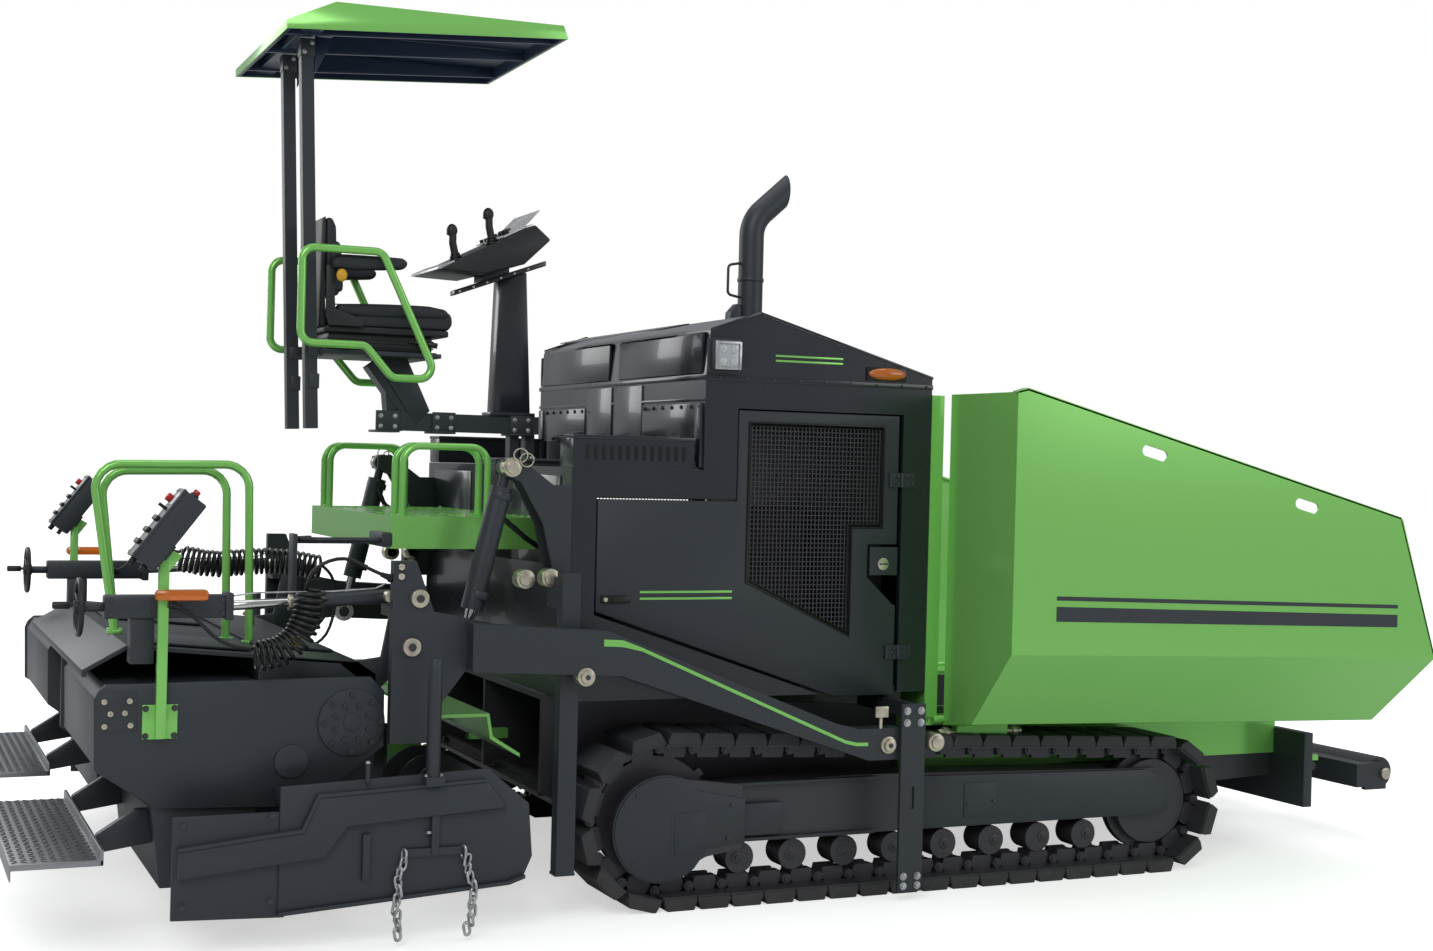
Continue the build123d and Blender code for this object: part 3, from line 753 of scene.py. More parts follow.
def build_cables(sizes):
    """Curly control cables of the screed's two ends, with their strain reliefs."""
    for side, cable in CABLES.items():
        points = [
            *cable["lead_in"], *curl_points(cable["curl"], cable["turns"]), *cable["lead_out"]
        ]
        cord = nurbs_curve(f"control_cable_{side}", points)
        cord.data.bevel_depth = sizes.hose / 2
        cord.data.bevel_resolution = 3
        cord.data.use_fill_caps = True
        cord.data.materials.append(bpy.data.materials["rubber"])
        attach(cord, "screed")
        reliefs = []
        for end, after in ((points[0], points[1]), (points[-1], points[-2])):
            end, after = Vector(end), Vector(after)
            way = (after - end).normalized()
            reliefs.append(rod(end - way * 0.004, end + way * 0.040, 0.014, sides=16, tip=0.0085))
            reliefs.append(rod(end - way * 0.006, end + way * 0.008, 0.017, sides=6, bevel=0.001))
        reliefs = finished(reliefs, f"cable_reliefs_{side}", "screed", "rubber")


# ------------------------------------------------------------------ undercarriage

TRACK_Y = 1.0
SPROCKET = (-0.745, 0.350, 0.275)   # X, Z and the pin line's radius
IDLER = (1.635, 0.300, 0.225)


def chain_place(s):
    """Place and heading on a track's pin line, s along it from below the sprocket."""
    run = IDLER[0] - SPROCKET[0]
    slope = 2 * math.atan2(SPROCKET[1] - IDLER[1], run)
    front, rear = IDLER[2] * (math.pi - slope), SPROCKET[2] * (math.pi + slope)
    s %= 2 * run + front + rear
    if s < run:
        return SPROCKET[0] + s, SPROCKET[1] - SPROCKET[2], 0.0
    s -= run
    if s < front:
        turn = s / IDLER[2]
        return IDLER[0] + IDLER[2] * math.sin(turn), IDLER[1] - IDLER[2] * math.cos(turn), turn
    s -= front
    turn = math.pi - slope
    if s < run:
        x = IDLER[0] + IDLER[2] * math.sin(turn)
        z = IDLER[1] - IDLER[2] * math.cos(turn)
        return x + s * math.cos(turn), z + s * math.sin(turn), turn
    turn += (s - run) / SPROCKET[2]
    return SPROCKET[0] + SPROCKET[2] * math.sin(turn), SPROCKET[1] - SPROCKET[2] * math.cos(turn), turn


def loop_length():
    """Length of a track's pin line."""
    run = IDLER[0] - SPROCKET[0]
    slope = 2 * math.atan2(SPROCKET[1] - IDLER[1], run)
    return 2 * run + IDLER[2] * (math.pi - slope) + SPROCKET[2] * (math.pi + slope)


def build_tracks(sizes):
    """Shoes, links and pins, copied by equal steps round each track."""
    pitch = loop_length() / sizes.shoes
    half = pitch * 0.485
    shoe = plate(
        ((-half, -0.026), (-half, -0.042), (-half + 0.012, -0.075), (half - 0.012, -0.075),
         (half, -0.042), (half, -0.026)),
        "side", -0.150, 0.150, bevel=0.003, segments=1,
    )
    grouser = box((-half - 0.004, -0.142, -0.028), (half + 0.004, 0.142, -0.020))
    rails = []
    for y in (-0.036, 0.036):
        rails.append(plate(
            ((-half * 0.55, -0.020), (half * 0.55, -0.020), (half * 0.75, 0.0), (half * 0.62, 0.035),
             (-half * 0.62, 0.035), (-half * 0.75, 0.0)),
            "side", y - 0.011, y + 0.011,
        ))
    pins = [
        rod((half, -0.062, 0), (half, 0.062, 0), 0.021, sides=12),
        rod((half, -0.066, 0), (half, 0.066, 0), 0.012, sides=8),
    ]
    pad = finished([shoe], "track_shoe", "root", "track_pad")
    link = finished([grouser, *rails, *pins], "track_link", "root", "dark_steel")
    for side, sign in SIDES:
        shoes, links = [], []
        for k in range(sizes.shoes):
            x, z, turn = chain_place((k + 0.5) * pitch)
            place = Matrix.Translation((x, sign * TRACK_Y, z)) @ Matrix.Rotation(-turn, 4, "Y")
            shoes.append(copy_to(pad, place))
            links.append(copy_to(link, place))
        finished(shoes, f"track_shoes_{side}", "root", "track_pad", replaces=[f"track_{side}"])
        finished(links, f"track_links_{side}", "root", "dark_steel")
    for template in (pad, link):
        bpy.data.objects.remove(template)


def keyhole(radius, neck):
    """Outline round the final drive, left open towards its neck."""
    round_part = [(-745 + radius * math.cos(a), 318 + radius * math.sin(a))
                  for a in [math.radians(50 + 10 * k) for k in range(27)]]
    return [*round_part, *neck]


def build_track_covers(sizes):
    """Keyhole cover, side panel, ledges and handles of each track frame."""
    for side, sign in SIDES:
        cover = side_slabs(
            keyhole(205, ((-560, 232), (-398, 250), (-396, 420), (-600, 462))), sign, 1118, 1126, 2
        )
        rim = side_slabs(
            keyhole(212, ((-556, 224), (-392, 242), (-390, 428), (-596, 470))), sign, 1108, 1119, 2
        )
        panels = [
            cover, rim,
            block((-700, -565), (sign * 1120, sign * 1129), (215, 380), 5),
            block((-716, -700), (sign * 1110, sign * 1128), (205, 390), 4),
            block((-397, -222), (sign * 1070, sign * 1108), (270, 398), 4),
            block((-470, 210), (sign * 1060, sign * 1100), (245, 259), 3),
            block((-470, 210), (sign * 1060, sign * 1100), (466, 480), 3),
            side_slabs(((440, 248), (440, 470), (1578, 446), (1700, 400), (1700, 262), (1640, 248)),
                       sign, 1080, 1093, 3),
            block((640, 800), (sign * 1085, sign * 1098), (285, 430), 3),
        ]
        finished(panels, f"track_covers_{side}", "root", "black_paint")
        spots = [
            (x, sign * 1126, z) for x, z in ((-860, 455), (-455, 400), (-870, 190), (-470, 268))
        ]
        spots += [(x, sign * 1098, z) for x, z in ((655, 340), (785, 350))]
        bolts(
            f"track_cover_bolts_{side}", "root", "dark_steel", sizes.small_bolt, spots, (0, sign, 0)
        )
        caps = []
        for x in (-397, -157, 83, 326, 569, 815, 1061, 1290):
            caps.append(pin(sign, x, 175, 1040, 1064, 24, 4))
            caps.append(pin(sign, x, 175, 1060, 1070, 11, 2, 6))
        finished(caps, f"roller_caps_{side}", "root", "dark_steel")


FLIGHT_PITCH = 0.210                # m along the shaft for one turn
FLIGHT_TURNS = 4


def build_augers():
    """Helical flights on each auger shaft, of opposite hands."""
    for side, sign in SIDES:
        clear_selection()
        bpy.ops.mesh.primitive_plane_add(
            size=1, location=(0.094, 0, 0), rotation=(math.pi / 2, 0, 0)
        )
        blade = bpy.context.object
        blade.scale = (0.112, 0.010, 1)
        settle(blade)
        spiral = blade.modifiers.new("flight", "SCREW")
        spiral.axis = "Z"
        spiral.angle = 2 * math.pi * sign
        spiral.screw_offset = FLIGHT_PITCH
        spiral.iterations = FLIGHT_TURNS
        spiral.steps = spiral.render_steps = 28
        apply_modifier(blade, spiral)
        pick(blade)
        bpy.ops.object.mode_set(mode="EDIT")
        bpy.ops.mesh.select_all(action="SELECT")
        bpy.ops.mesh.remove_doubles(threshold=0.0001)
        bpy.ops.mesh.fill_holes(sides=4)
        bpy.ops.mesh.normals_make_consistent(inside=False)
        bpy.ops.object.mode_set(mode="OBJECT")
        blade.data.transform(Matrix.Translation((
            -1.480, sign * 0.095, 0.400
        )) @ Matrix.Rotation(-sign * math.pi / 2, 4, "X"))
        shaft = pin(sign, -1480, 400, 70, 980, 38, 3)
        hub = pin(sign, -1480, 400, 70, 96, 62, 4)
        tip = pin(sign, -1480, 400, 950, 980, 52, 4)
        finished(
            [blade, shaft, hub, tip], f"auger_flights_{side}", f"auger_{side}", "dark_steel",
            replaces=[f"auger_{side}"]
        )


def build_front_plate():
    """Cross plate in front of the chassis with its pin brackets, in black paint that also stands for the shade under
    the hopper: partly painted shade.
    """
    parts = [block((2554, 2605), (-1003, 1003), (213, 560), 3)]
    for _, sign in SIDES:
        for y in (180, 520, 860):
            parts.append(block((2604, 2650), (sign * y - 8, sign * y + 8), (300, 420), 3))
        parts.append(bar((2625, sign * 860 - 22, 360), (2625, sign * 860 + 22, 360), 16, 3))
    # Painted shade in part: the plate's black also stands for the shade under the hopper
    finished(parts, "front_plate", "root", "black_paint")
    spots = [(2605, y, z) for y in (-940, -700, 700, 940) for z in (250, 520)]
    bolts("front_plate_bolts", "root", "dark_steel", 0.024, spots, (1, 0, 0))
    forks = []
    for y in (-700, -330, 330, 700):
        forks.append(bar((2884, y, 345), (2876, y, 345), 20, 2, 12))
    caps = [bar(
        (3075, s * y, 345), (3075, s * (y + 18), 345), 28, 4
    ) for s in (1, -1) for y in (972,)]
    finished([*forks, *caps], "push_beam_pins", "root", "zinc")


# ------------------------------------------------------------------ housing

WIRE_STEP = (17.4, 19)              # mm between the wires of a door mesh, along and up
HOUSE_SIDE = 1000                   # mm from the centre line to the housing's side
WINDOW = ((-358, 1275), (-358, 1920), (265, 1920), (265, 1500), (120, 1500), (120, 1050))
DOOR = (
    (-1005, 1160), (-1005, 1600), (-405, 1600), (-405, 1968), (338, 1968), (338, 1430),
    (200, 1430), (200, 1295), (327, 1177), (338, 1177), (338, 800), (55, 800),
)


def build_doors(sizes):
    """Side doors with their wire mesh, seals, hinges, latch, handle and lines."""
    half = sizes.wire / 2 / MM
    for side, sign in SIDES:
        body = f"side_door_{side}"
        panel = side_slabs(DOOR, sign, 972, 1000, 0)
        cut(panel, side_slabs(WINDOW, sign, 960, 1010, 0))
        round_edges(panel, 0.005, 3)
        leaves = []
        for z in (950, 1670):
            leaves.append(block((290, 346), (sign * HOUSE_SIDE, sign * 1012), (z, z + 60), 2))
            leaves.append(bar((350, sign * 1011, z), (350, sign * 1011, z + 60), 10, 2))
        finished([panel, *leaves], f"door_panel_{side}", body, "black_paint", replaces=[body])
        wires = []
        for k in range(35):
            x = -341 + k * WIRE_STEP[0]
            low = 1275 - (x + 358) * 225 / 478 + 8 if x < 112 else 1508
            wires.append(block((x - half, x + half), (sign * 985, sign * 989), (low, 1912), 0))
        for k in range(45):
            z = 1072 + k * WIRE_STEP[1]
            left = -350 if z > 1283 else -350 + (1283 - z) * 478 / 225
            right = 257 if z > 1508 else 112
            wires.append(block((left, right), (sign * 981, sign * 985), (z - half, z + half), 0))
        finished(
            wires, f"door_mesh_{side}", body, "dark_steel", 0, replaces=[f"door_grille_{side}"]
        )
        seal = tube_mm(WINDOW, sign * 1.0005, 0.0055, cyclic=True, sides=3)
        inner = tube_mm((
            (-346, 1284), (-346, 1908), (253, 1908), (253, 1512), (108, 1512), (108, 1070),
        ), sign * 0.984, 0.007, cyclic=True, sides=2)
        handle = [
            block((-985, -862), (sign * HOUSE_SIDE, sign * 1014), (1194, 1222), 5),
            block((-945, -868), (sign * 1010, sign * 1018), (1200, 1216), 3),
        ]
        finished([seal, inner, *handle], f"door_seal_{side}", body, "rubber")
        finished(
            pin(sign, -970, 1208, 1012, 1020, 9, 2),
            f"door_handle_screw_{side}", body, "zinc"
        )
        frames = []
        for z in (950, 1670):
            frames.append(block((354, 412), (sign * HOUSE_SIDE, sign * 1010), (z, z + 60), 2))
        finished(frames, f"hinge_leaves_{side}", "root", "black_paint")
        spots = [(
            x, sign * 1012, z + dz
        ) for x in (308, 328) for z in (950, 1670) for dz in (14, 46)]
        bolts(
            f"hinge_bolts_door_{side}", body, "dark_steel", sizes.small_bolt, spots, (0, sign, 0),
            False
        )
        spots = [(
            x, sign * 1010, z + dz
        ) for x in (376, 398) for z in (950, 1670) for dz in (14, 46)]
        bolts(
            f"hinge_bolts_frame_{side}", "root", "dark_steel", sizes.small_bolt, spots,
            (0, sign, 0), False
        )
        latch = [
            pin(sign, 271, 1349, HOUSE_SIDE, 1009, 26, 3),
            pin(sign, 271, 1349, 1007, 1014, 15, 2),
        ]
        finished(latch, f"door_latch_{side}", "root", "zinc")
        plates = [
            block((208, 340), (sign * HOUSE_SIDE, sign * 1004), (1302, 1420), 2),
            block((252, 290), (sign * 1008, sign * 1016), (1346, 1352), 1),
        ]
        finished(plates[:1], f"latch_plate_{side}", "root", "black_paint")
        finished(plates[1:], f"latch_key_{side}", "root", "dark_steel")
        lines = []
        for z, slim in ((1232, 9), (1206, 9)):
            lines.append(block((-820, -420), (sign * HOUSE_SIDE, sign * 1002), (z, z + slim), 0.5))
        finished(lines, f"door_lines_{side}", body, "green_paint")


def build_hood(sizes):
    """Seams, strips, panels, bolts, lids and corner rails of the hood and deck."""
    strips, panels, seams, spots = [], [], [], []
    for side, sign in SIDES:
        strips.append(block((-560, 492), (sign * HOUSE_SIDE, sign * 1006), (2084, 2104), 2))
        strips.append(slab(
            ((-545, 2283), (-541, 2292), (-325, 2369), (-320, 2359)), sign * 996, sign * 1006, 1
        ))
        strips.append(slab(
            ((-325, 2369), (-322, 2359), (492, 2128), (492, 2138)), sign * 996, sign * 1006, 1
        ))
        panels.append(block((-566, -550), (sign * 352, sign * 985), (1838, 1992), 4))
        panels.append(block((-564, -550), (sign * 20, sign * 340), (1760, 2080), 4))
        panels.append(block((-1122, -1108), (sign * 300, sign * 880), (1330, 1690), 4))
        panels.append(block((-572, -548), (sign * 925, sign * 985), (1730, 1992), 6))
        panels.append(slab(
            ((-565, 2112), (-561, 2270), (-548, 2280), (-551, 2106)), sign * 60, sign * 960, 3
        ))
        spots += [(-566, sign * y, 1978) for y in (380, 480, 580, 680, 780, 880, 960)]
        spots += [(-566, sign * y, 1852) for y in (380, 580, 780, 960)]
        seams.append(block((-1118, -1114), (sign * 12, sign * 290), (1326, 1694), 0))
        seams.append(block((-1005, -408), (sign * 999.5, sign * 1001), (1606, 1609), 0))
    strips.append(block((-563, -555), (-1004, 1004), (2000, 2012), 2))
    strips.append(block((-566, -552), (-1004, 1004), (2086, 2104), 3))
    finished(strips, "hood_strips", "root", "hood_paint")
    finished(panels, "hood_panels", "root", "hood_paint")
    finished(seams, "hood_seams", "root", "seam")
    bolts("hood_bolts", "root", "dark_steel", sizes.small_bolt, spots, (-1, 0, 0))
    lids = [
        slab(((-600, 2300), (-596, 2306), (-470, 2336), (-470, 2329)), -620, 620, 1.5),
        slab(((-60, 2334), (180, 2282), (180, 2300), (-60, 2350)), 250, 760, 4),
    ]
    for side, sign in SIDES:
        lids.append(block((-1116, -597), (sign * 842, sign * 1005), (1836, 1850), 3))
        lids.append(block((-1113, -1106), (sign * 850, sign * HOUSE_SIDE), (1726, 1836), 2))
    finished(lids, "deck_lids", "root", "hood_paint")
    # Painted shade: near-black slats stand for the shade inside the tool trays' vent slots, which are not cut
    vent_slot_shades = [
        block((x, x + 14), (sign * HOUSE_SIDE, sign * 1002), (1755, 1812), 1) for _,
        sign in SIDES for x in range(-1060, -640, 34)
    ]
    finished(vent_slot_shades, "tray_vents", "root", "seam")
    for side, sign in SIDES:
        spots = [(x, sign * 1006, 2094) for x in range(-500, 480, 120)]
        bolts(f"hood_strip_bolts_{side}", "root", "dark_steel", 0.009, spots, (0, sign, 0), False)
        line = [block(
            (-250, 60), (sign * HOUSE_SIDE, sign * 1002), (z, z + 8), 0.5
        ) for z in (2190, 2170)]
        finished(line, f"hood_lines_{side}", "root", "green_paint")
    loop = tube_mm(((-96, 2640), (-150, 2630), (-150, 2500), (-96, 2490)), -0.3, 0.006, bend=0.02)
    foot = [
        bar((-40, -300, 2330), (-40, -300, 2356), 78, 3, 32),
        slab(((-150, 2352), (-146, 2420), (-110, 2460), (-96, 2440), (-96, 2350)), -330, -270, 3),
        bar((-40, -300, 2560), (-40, -300, 2576), 59, 2, 32),
    ]
    finished([loop, *foot], "exhaust_fittings", "root", "black_paint")


def build_lamps():
    """LED work lamps on the hood and the amber markers."""
    for side, sign in SIDES:
        y = sign * HOUSE_SIDE
        shell = [block((-545, -422), (y, y + sign * 50), (2121, 2244), 10)]
        shell.append(block((-556, -412), (y, y + sign * 12), (2112, 2252), 4))
        finished(shell, f"work_lamp_shell_{side}", "root", "black_paint")
        bezel = cut(block((-541, -426), (y + sign * 46, y + sign * 56), (2125, 2240), 4),
                    block((-530, -437), (y + sign * 40, y + sign * 66), (2136, 2229), 0))
        finished(bezel, f"work_lamp_bezel_{side}", "root", "galvanised")
        glass = [block((-530, -437), (y + sign * 46, y + sign * 52), (2136, 2229), 3)]
        for x in (-508, -459):
            for z in (2158, 2207):
                glass.append(bar((x, y + sign * 50, z), (x, y + sign * 56, z), 17, 3))
        finished(glass, f"work_lamp_glass_{side}", "root", "clear_lens")
        marker = ball((0.265, y * MM + sign * 0.012, 2.14), (0.09, 0.022, 0.026))
        finished([marker], f"hood_marker_{side}", "root", "amber_lens")
        finished(
            block((170, 360), (y, y + sign * 8), (2112, 2168), 4), f"hood_marker_base_{side}",
            "root", "rubber"
        )
        y = sign * (1165 + out_of(side))
        lens = block((-2693, -2510), (y - 20, y + 20), (1226, 1266), 14)
        finished(lens, f"post_marker_{side}", f"extension_{side}", "amber_lens")


# ------------------------------------------------------------------ hopper


def build_hopper_fittings():
    """Flange bolts, hinge brackets and lines of the hopper wings."""
    for side, sign in SIDES:
        body = f"hopper_wing_{side}"
        bracket = slab(
            ((600, 608), (612, 592), (842, 592), (854, 608), (854, 676), (600, 676)), sign * 1040,
            sign * 1090, 8
        )
        finished(bracket, f"hinge_bracket_{side}", "root", "green_paint")
        pins = [bar(
            (x - 38, sign * 1065, 640), (x + 38, sign * 1065, 640), 18, 4
        ) for x in (560, 892)]
        pins += [bar(
            (x - 12, sign * 1065, 640), (x + 12, sign * 1065, 640), 27, 3
        ) for x in (560, 892)]
        finished(pins, f"hinge_pins_{side}", "root", "zinc")
        spots = [(x, sign * y, z) for x, y, z in (
            (2776, 1474, 935), (2742, 1415, 872), (2722, 1350, 802), (2700, 1290, 735))]
        bolts(f"wing_bolts_{side}", body, "green_paint", 0.022, spots, (1, 0, 0))
        bands = [
            slab(
                ((760, 1150), (2560, 1105), (2560, 1160), (760, 1210)), sign * 1558, sign * 1560, 0
            ),
            slab(
                ((760, 1235), (2560, 1188), (2560, 1204), (760, 1252)), sign * 1558, sign * 1560, 0
            ),
        ]
        finished(bands, f"wing_bands_{side}", body, "black_paint")


WING_BACK, WING_FRONT = 552, 2790   # mm, from the housing to the tip
WING_KEEP = (
    (WING_BACK, 600), (WING_BACK, 2068), (600, 2080), (2570, 1587), (2790, 960), (2680, 600)
)
WING_SKIN = (
    (1559, 2120), (1559, 1020), (1279, 705), (1052, 672), (1052, 682), (1275, 715), (1549, 1024),
    (1549, 2120),
)
WING_FALL = 52                      # mm that the lower edges fall towards the front
WING_SLOTS = ((1226, 1838), (2035, 1633))


def stadium(x, z, long, tall, lean):
    """Outline of a leaning slot with round ends."""
    lean = math.radians(lean)
    outline = []
    for k in range(24):
        a = 2 * math.pi * (k + 0.5) / 24
        u = (tall / 2) * math.cos(a) + math.copysign((long - tall) / 2, math.cos(a))
        v = (tall / 2) * math.sin(a)
        outline.append((
            x + u * math.cos(lean) - v * math.sin(lean), z + u * math.sin(lean) + v * math.cos(lean)
        ))
    return outline


def build_wings():
    """Folded sheet of each hopper wing with its rear wall, lip and lifting slots."""
    for side, sign in SIDES:
        skin = slab([(sign * y, z) for y, z in WING_SKIN], WING_BACK, WING_FRONT, 0, "front")
        for vertex in skin.data.vertices:
            if vertex.co.x > 1.0:
                vertex.co.z -= WING_FALL * MM
        cut(skin, side_slabs(WING_KEEP, sign, 900, 1700, 0), "INTERSECT")
        for x, z in WING_SLOTS:
            cut(skin, side_slabs(stadium(x, z, 130, 45, -13.6), sign, 1500, 1620, 0))
        round_edges(skin, 0.003)
        rear = ((1052, 745), (1052, 2066), (1556, 2066), (1556, 1022), (1279, 708), (1060, 677))
        wall = slab([(sign * y, z) for y, z in rear], WING_BACK + 2, WING_BACK + 12, 1.5, "front")
        lip = [side_slabs(((WING_BACK, 2058), (WING_BACK, 2070), (600, 2084), (2572, 1590),
                           (2570, 1578), (600, 2070)),
                          sign, 1518, 1559, 2)]
        lip.append(side_slabs(
            ((2568, 1588), (2580, 1580), (2790, 962), (2778, 962), (2566, 1570)), sign, 1518, 1559,
            2
        ))
        gusset = slab(
            ((sign * 1548, 1030), (sign * 1280, 722), (sign * 1296, 716), (sign * 1556, 1016)),
            2640, 2650, 1, "front"
        )
        finished([skin, wall, *lip, gusset], f"wing_{side}", f"hopper_wing_{side}", "green_paint", 0,
                 [f"hopper_wing_{side}"])
        filler = block((491, 551), sorted((sign * 991, sign * 1003)), (700, 2062), 1)
        finished(filler, f"hopper_filler_{side}", "root", "green_paint", 0)


# ------------------------------------------------------------------ canopy and station

CANOPY = ((-2160, 3389), (-2160, 3423), (-1970, 3514), (-1030, 3532), (-1010, 3479))
CANOPY_HALF = 540


def build_canopy(sizes):
    """Green canopy sheet with its lining and ribs in painted shade, dark blue-grey for the shade under the roof, and
    strap braces.
    """
    shell = slab(CANOPY, -CANOPY_HALF, CANOPY_HALF, 0)
    inside = (
        (-2154, 3360), (-2154, 3420), (-1968, 3509), (-1034, 3527), (-1015, 3479), (-1015, 3360)
    )
    cut(shell, slab(inside, -CANOPY_HALF + 6, CANOPY_HALF - 6, 0))
    round_edges(shell, 0.0025)
    finished(shell, "canopy_shell", "canopy", "green_paint", replaces=["canopy"])
    # Painted shade: the lining and ribs are coloured for the shade under the canopy, not for a paint of their own
    lining = slab(
        ((-2153, 3391), (-2153, 3419), (-1967, 3508), (-1035, 3526), (-1016, 3479)), -533, 533, 0
    )
    hollow = (
        (-2140, 3350), (-2140, 3414), (-1962, 3502), (-1041, 3520), (-1026, 3479), (-1026, 3350)
    )
    cut(lining, slab(hollow, -527, 527, 0))
    parts = [lining]
    for y in (-400, -20, 400):
        rib = slab(
            ((-2145, 3394), (-2145, 3414), (-1964, 3500), (-1040, 3518), (-1025, 3482)), y - 8,
            y + 8, 2
        )
        parts.append(rib)
    parts.append(block((-2080, -2000), (-533, 533), (3412, 3440), 3))
    parts.append(block((-1960, -1900), (-533, 533), (3452, 3490), 3))
    for y in (-325, 25):
        parts.append(slab(((-1999, 3270), (-2003, 3416), (-1930, 3416)), y - 3, y + 3, 1))
    finished(parts, "canopy_lining", "canopy", "lining_paint")
    straps = []
    for y in (-325, 25):
        straps.append(block((-2066, -2008), (y - 31, y + 31), (3330, 3398), 3))
        straps.append(block((-2000, -1960), (y - 30, y + 30), (2010, 2070), 3))
        straps.append(block((-2010, -1950), (y - 30, y + 30), (2140, 2190), 3))
    finished(straps, "canopy_post_clamps", "canopy", "black_paint")
    spots = [
        (x, y + side * 31, z) for y in (-325, 25) for side in (-1, 1) for x,
        z in ((-2052, 3345), (-2022, 3383))
    ]
    near = [spot for k, spot in enumerate(spots) if (k // 2) % 2 == 0]
    bolts("canopy_post_bolts", "canopy", "galvanised", sizes.small_bolt, near, (0, -1, 0))


def build_console():
    """Console body on its slide rail, white panel with knobs, joysticks and screen."""
    y = STATION_Y
    body = slab(
        ((-1480, 2519), (-1416, 2555), (-1070, 2732), (-998, 2673), (-1112, 2563), (-1284, 2513)),
        y - 210, y + 210, 9
    )
    under = [
        slab(((-1250, 2530), (-1130, 2562), (-1130, 2539), (-1250, 2494)), y - 60, y + 60, 3),
    ]
    finished([body, *under], "console_body", "root", "plastic", replaces=["console"])
    column = slab(((-1183, 1931), (-1167, 2502), (-1047, 2547), (-1016, 1931)), y - 45, y + 45, 6)
    rail = slab(((-1361, 2430), (-1361, 2452), (-957, 2603), (-957, 2581)), y - 32, y + 32, 3)
    foot = block((-1200, -1000), (y - 60, y + 60), (1929, 1945), 3)
    finished(
        [column, rail, foot], "console_stand", "root", "hood_paint", replaces=["console_column"]
    )
    spots = [(x, y - 32, 2441 + (x + 1361) * 151 / 404) for x in range(-1340, -980, 60)]
    bolts("rail_rivets", "root", "galvanised", 0.010, spots, (0, -1, 0), False)
    cover = slab(
        ((-1488, 2519), (-1482, 2530), (-1416, 2561), (-1414, 2553), (-1470, 2521)), y - 205,
        y + 205, 1.5
    )
    finished(cover, "console_end_cover", "root", "galvanised")
    panel = slab(((-1200, 2669), (-1078, 2732), (-1075, 2737), (-1202, 2673)), y - 195, y + 195, 1)
    screen = slab(((-1120, 2715), (-1040, 2800), (-1034, 2798), (-1112, 2712)), y - 160, y + 170, 1)
    finished([panel], "console_panel", "root", "white_panel")
    finished([screen], "console_screen", "root", "clear_lens")
    grips, boots, knobs = [], [], []
    for (x, z), (x_top, z_top) in (((-1384, 2566), (-1402, 2709)), ((-1228, 2645), (-1247, 2788))):
        base = y - 120
        for k in range(4):
            boots.append(bar(
                (x + 1 - k * 2, base, z + k * 11), (x - 1 - k * 2, base, z + 11 + k * 11),
                30 - 5 * k, 3
            ))
        grips.append(tube([(p * MM, base * MM, q * MM) for p, q in (
            (x - 6, z + 30), (x - 16, z + 75), (x_top + 2, z_top - 40), (x_top - 2, z_top - 12))], 0.016, bend=0.03))
        grips.append(ball(((x_top - 2) * MM, base * MM, (z_top - 18) * MM), (0.023, 0.020, 0.028)))
        grips.append(bar((x_top - 24, base, z_top - 30), (x_top - 12, base, z_top - 34), 7, 2, 12))
    finished(grips, "joystick_grips", "root", "plastic")
    finished(boots, "joystick_boots", "root", "rubber")
    for k in range(3):
        for row in range(3):
            x = -1185 + row * 42
            z = 2673 + (x + 1200) * 0.516
            knobs.append(bar((x, y + 40 + k * 60, z), (x - 6, y + 40 + k * 60, z + 14), 9, 2, 12))
    knobs.append(bar((-1150, y - 60, 2698), (-1160, y - 60, 2718), 17, 4, 16))
    finished(knobs, "console_knobs", "root", "rubber")


PAD_MESH = 0.006                    # m, the step of a pad's even mesh


def crowned(piece, low, high, crown, pinch):
    """Crown a pad's top and pull its sides in between the corners."""
    middle, half = (low + high) / 2, (high - low) / 2
    for vertex in piece.data.vertices:
        u, v, w = ((vertex.co[k] - middle[k]) / half[k] for k in range(3))
        bulge = max(0.0, 1 - u * u) * max(0.0, 1 - v * v)
        if w > 0:
            vertex.co.z += crown * bulge
        vertex.co.x -= pinch * u * max(0.0, 1 - v * v)
        vertex.co.y -= pinch * v * max(0.0, 1 - u * u) * (1 - abs(w))
    return piece


def pad(outline, near, far, width, crown, pinch=0.004):
    """A padded form: a rounded slab, divided finely, crowned and smoothed."""
    piece = slab(outline, near, far, 0)
    round_edges(piece, width * MM, 4)
    pick(piece)
    remesh = piece.modifiers.new("even", "REMESH")
    remesh.mode = "VOXEL"
    remesh.voxel_size = PAD_MESH
    apply_modifier(piece, remesh)
    low = Vector(map(min, zip(*(v.co for v in piece.data.vertices))))
    high = Vector(map(max, zip(*(v.co for v in piece.data.vertices))))
    crowned(piece, low, high, crown, pinch)
    relax = piece.modifiers.new("relax", "SMOOTH")
    relax.iterations = 6
    return apply_modifier(piece, relax)


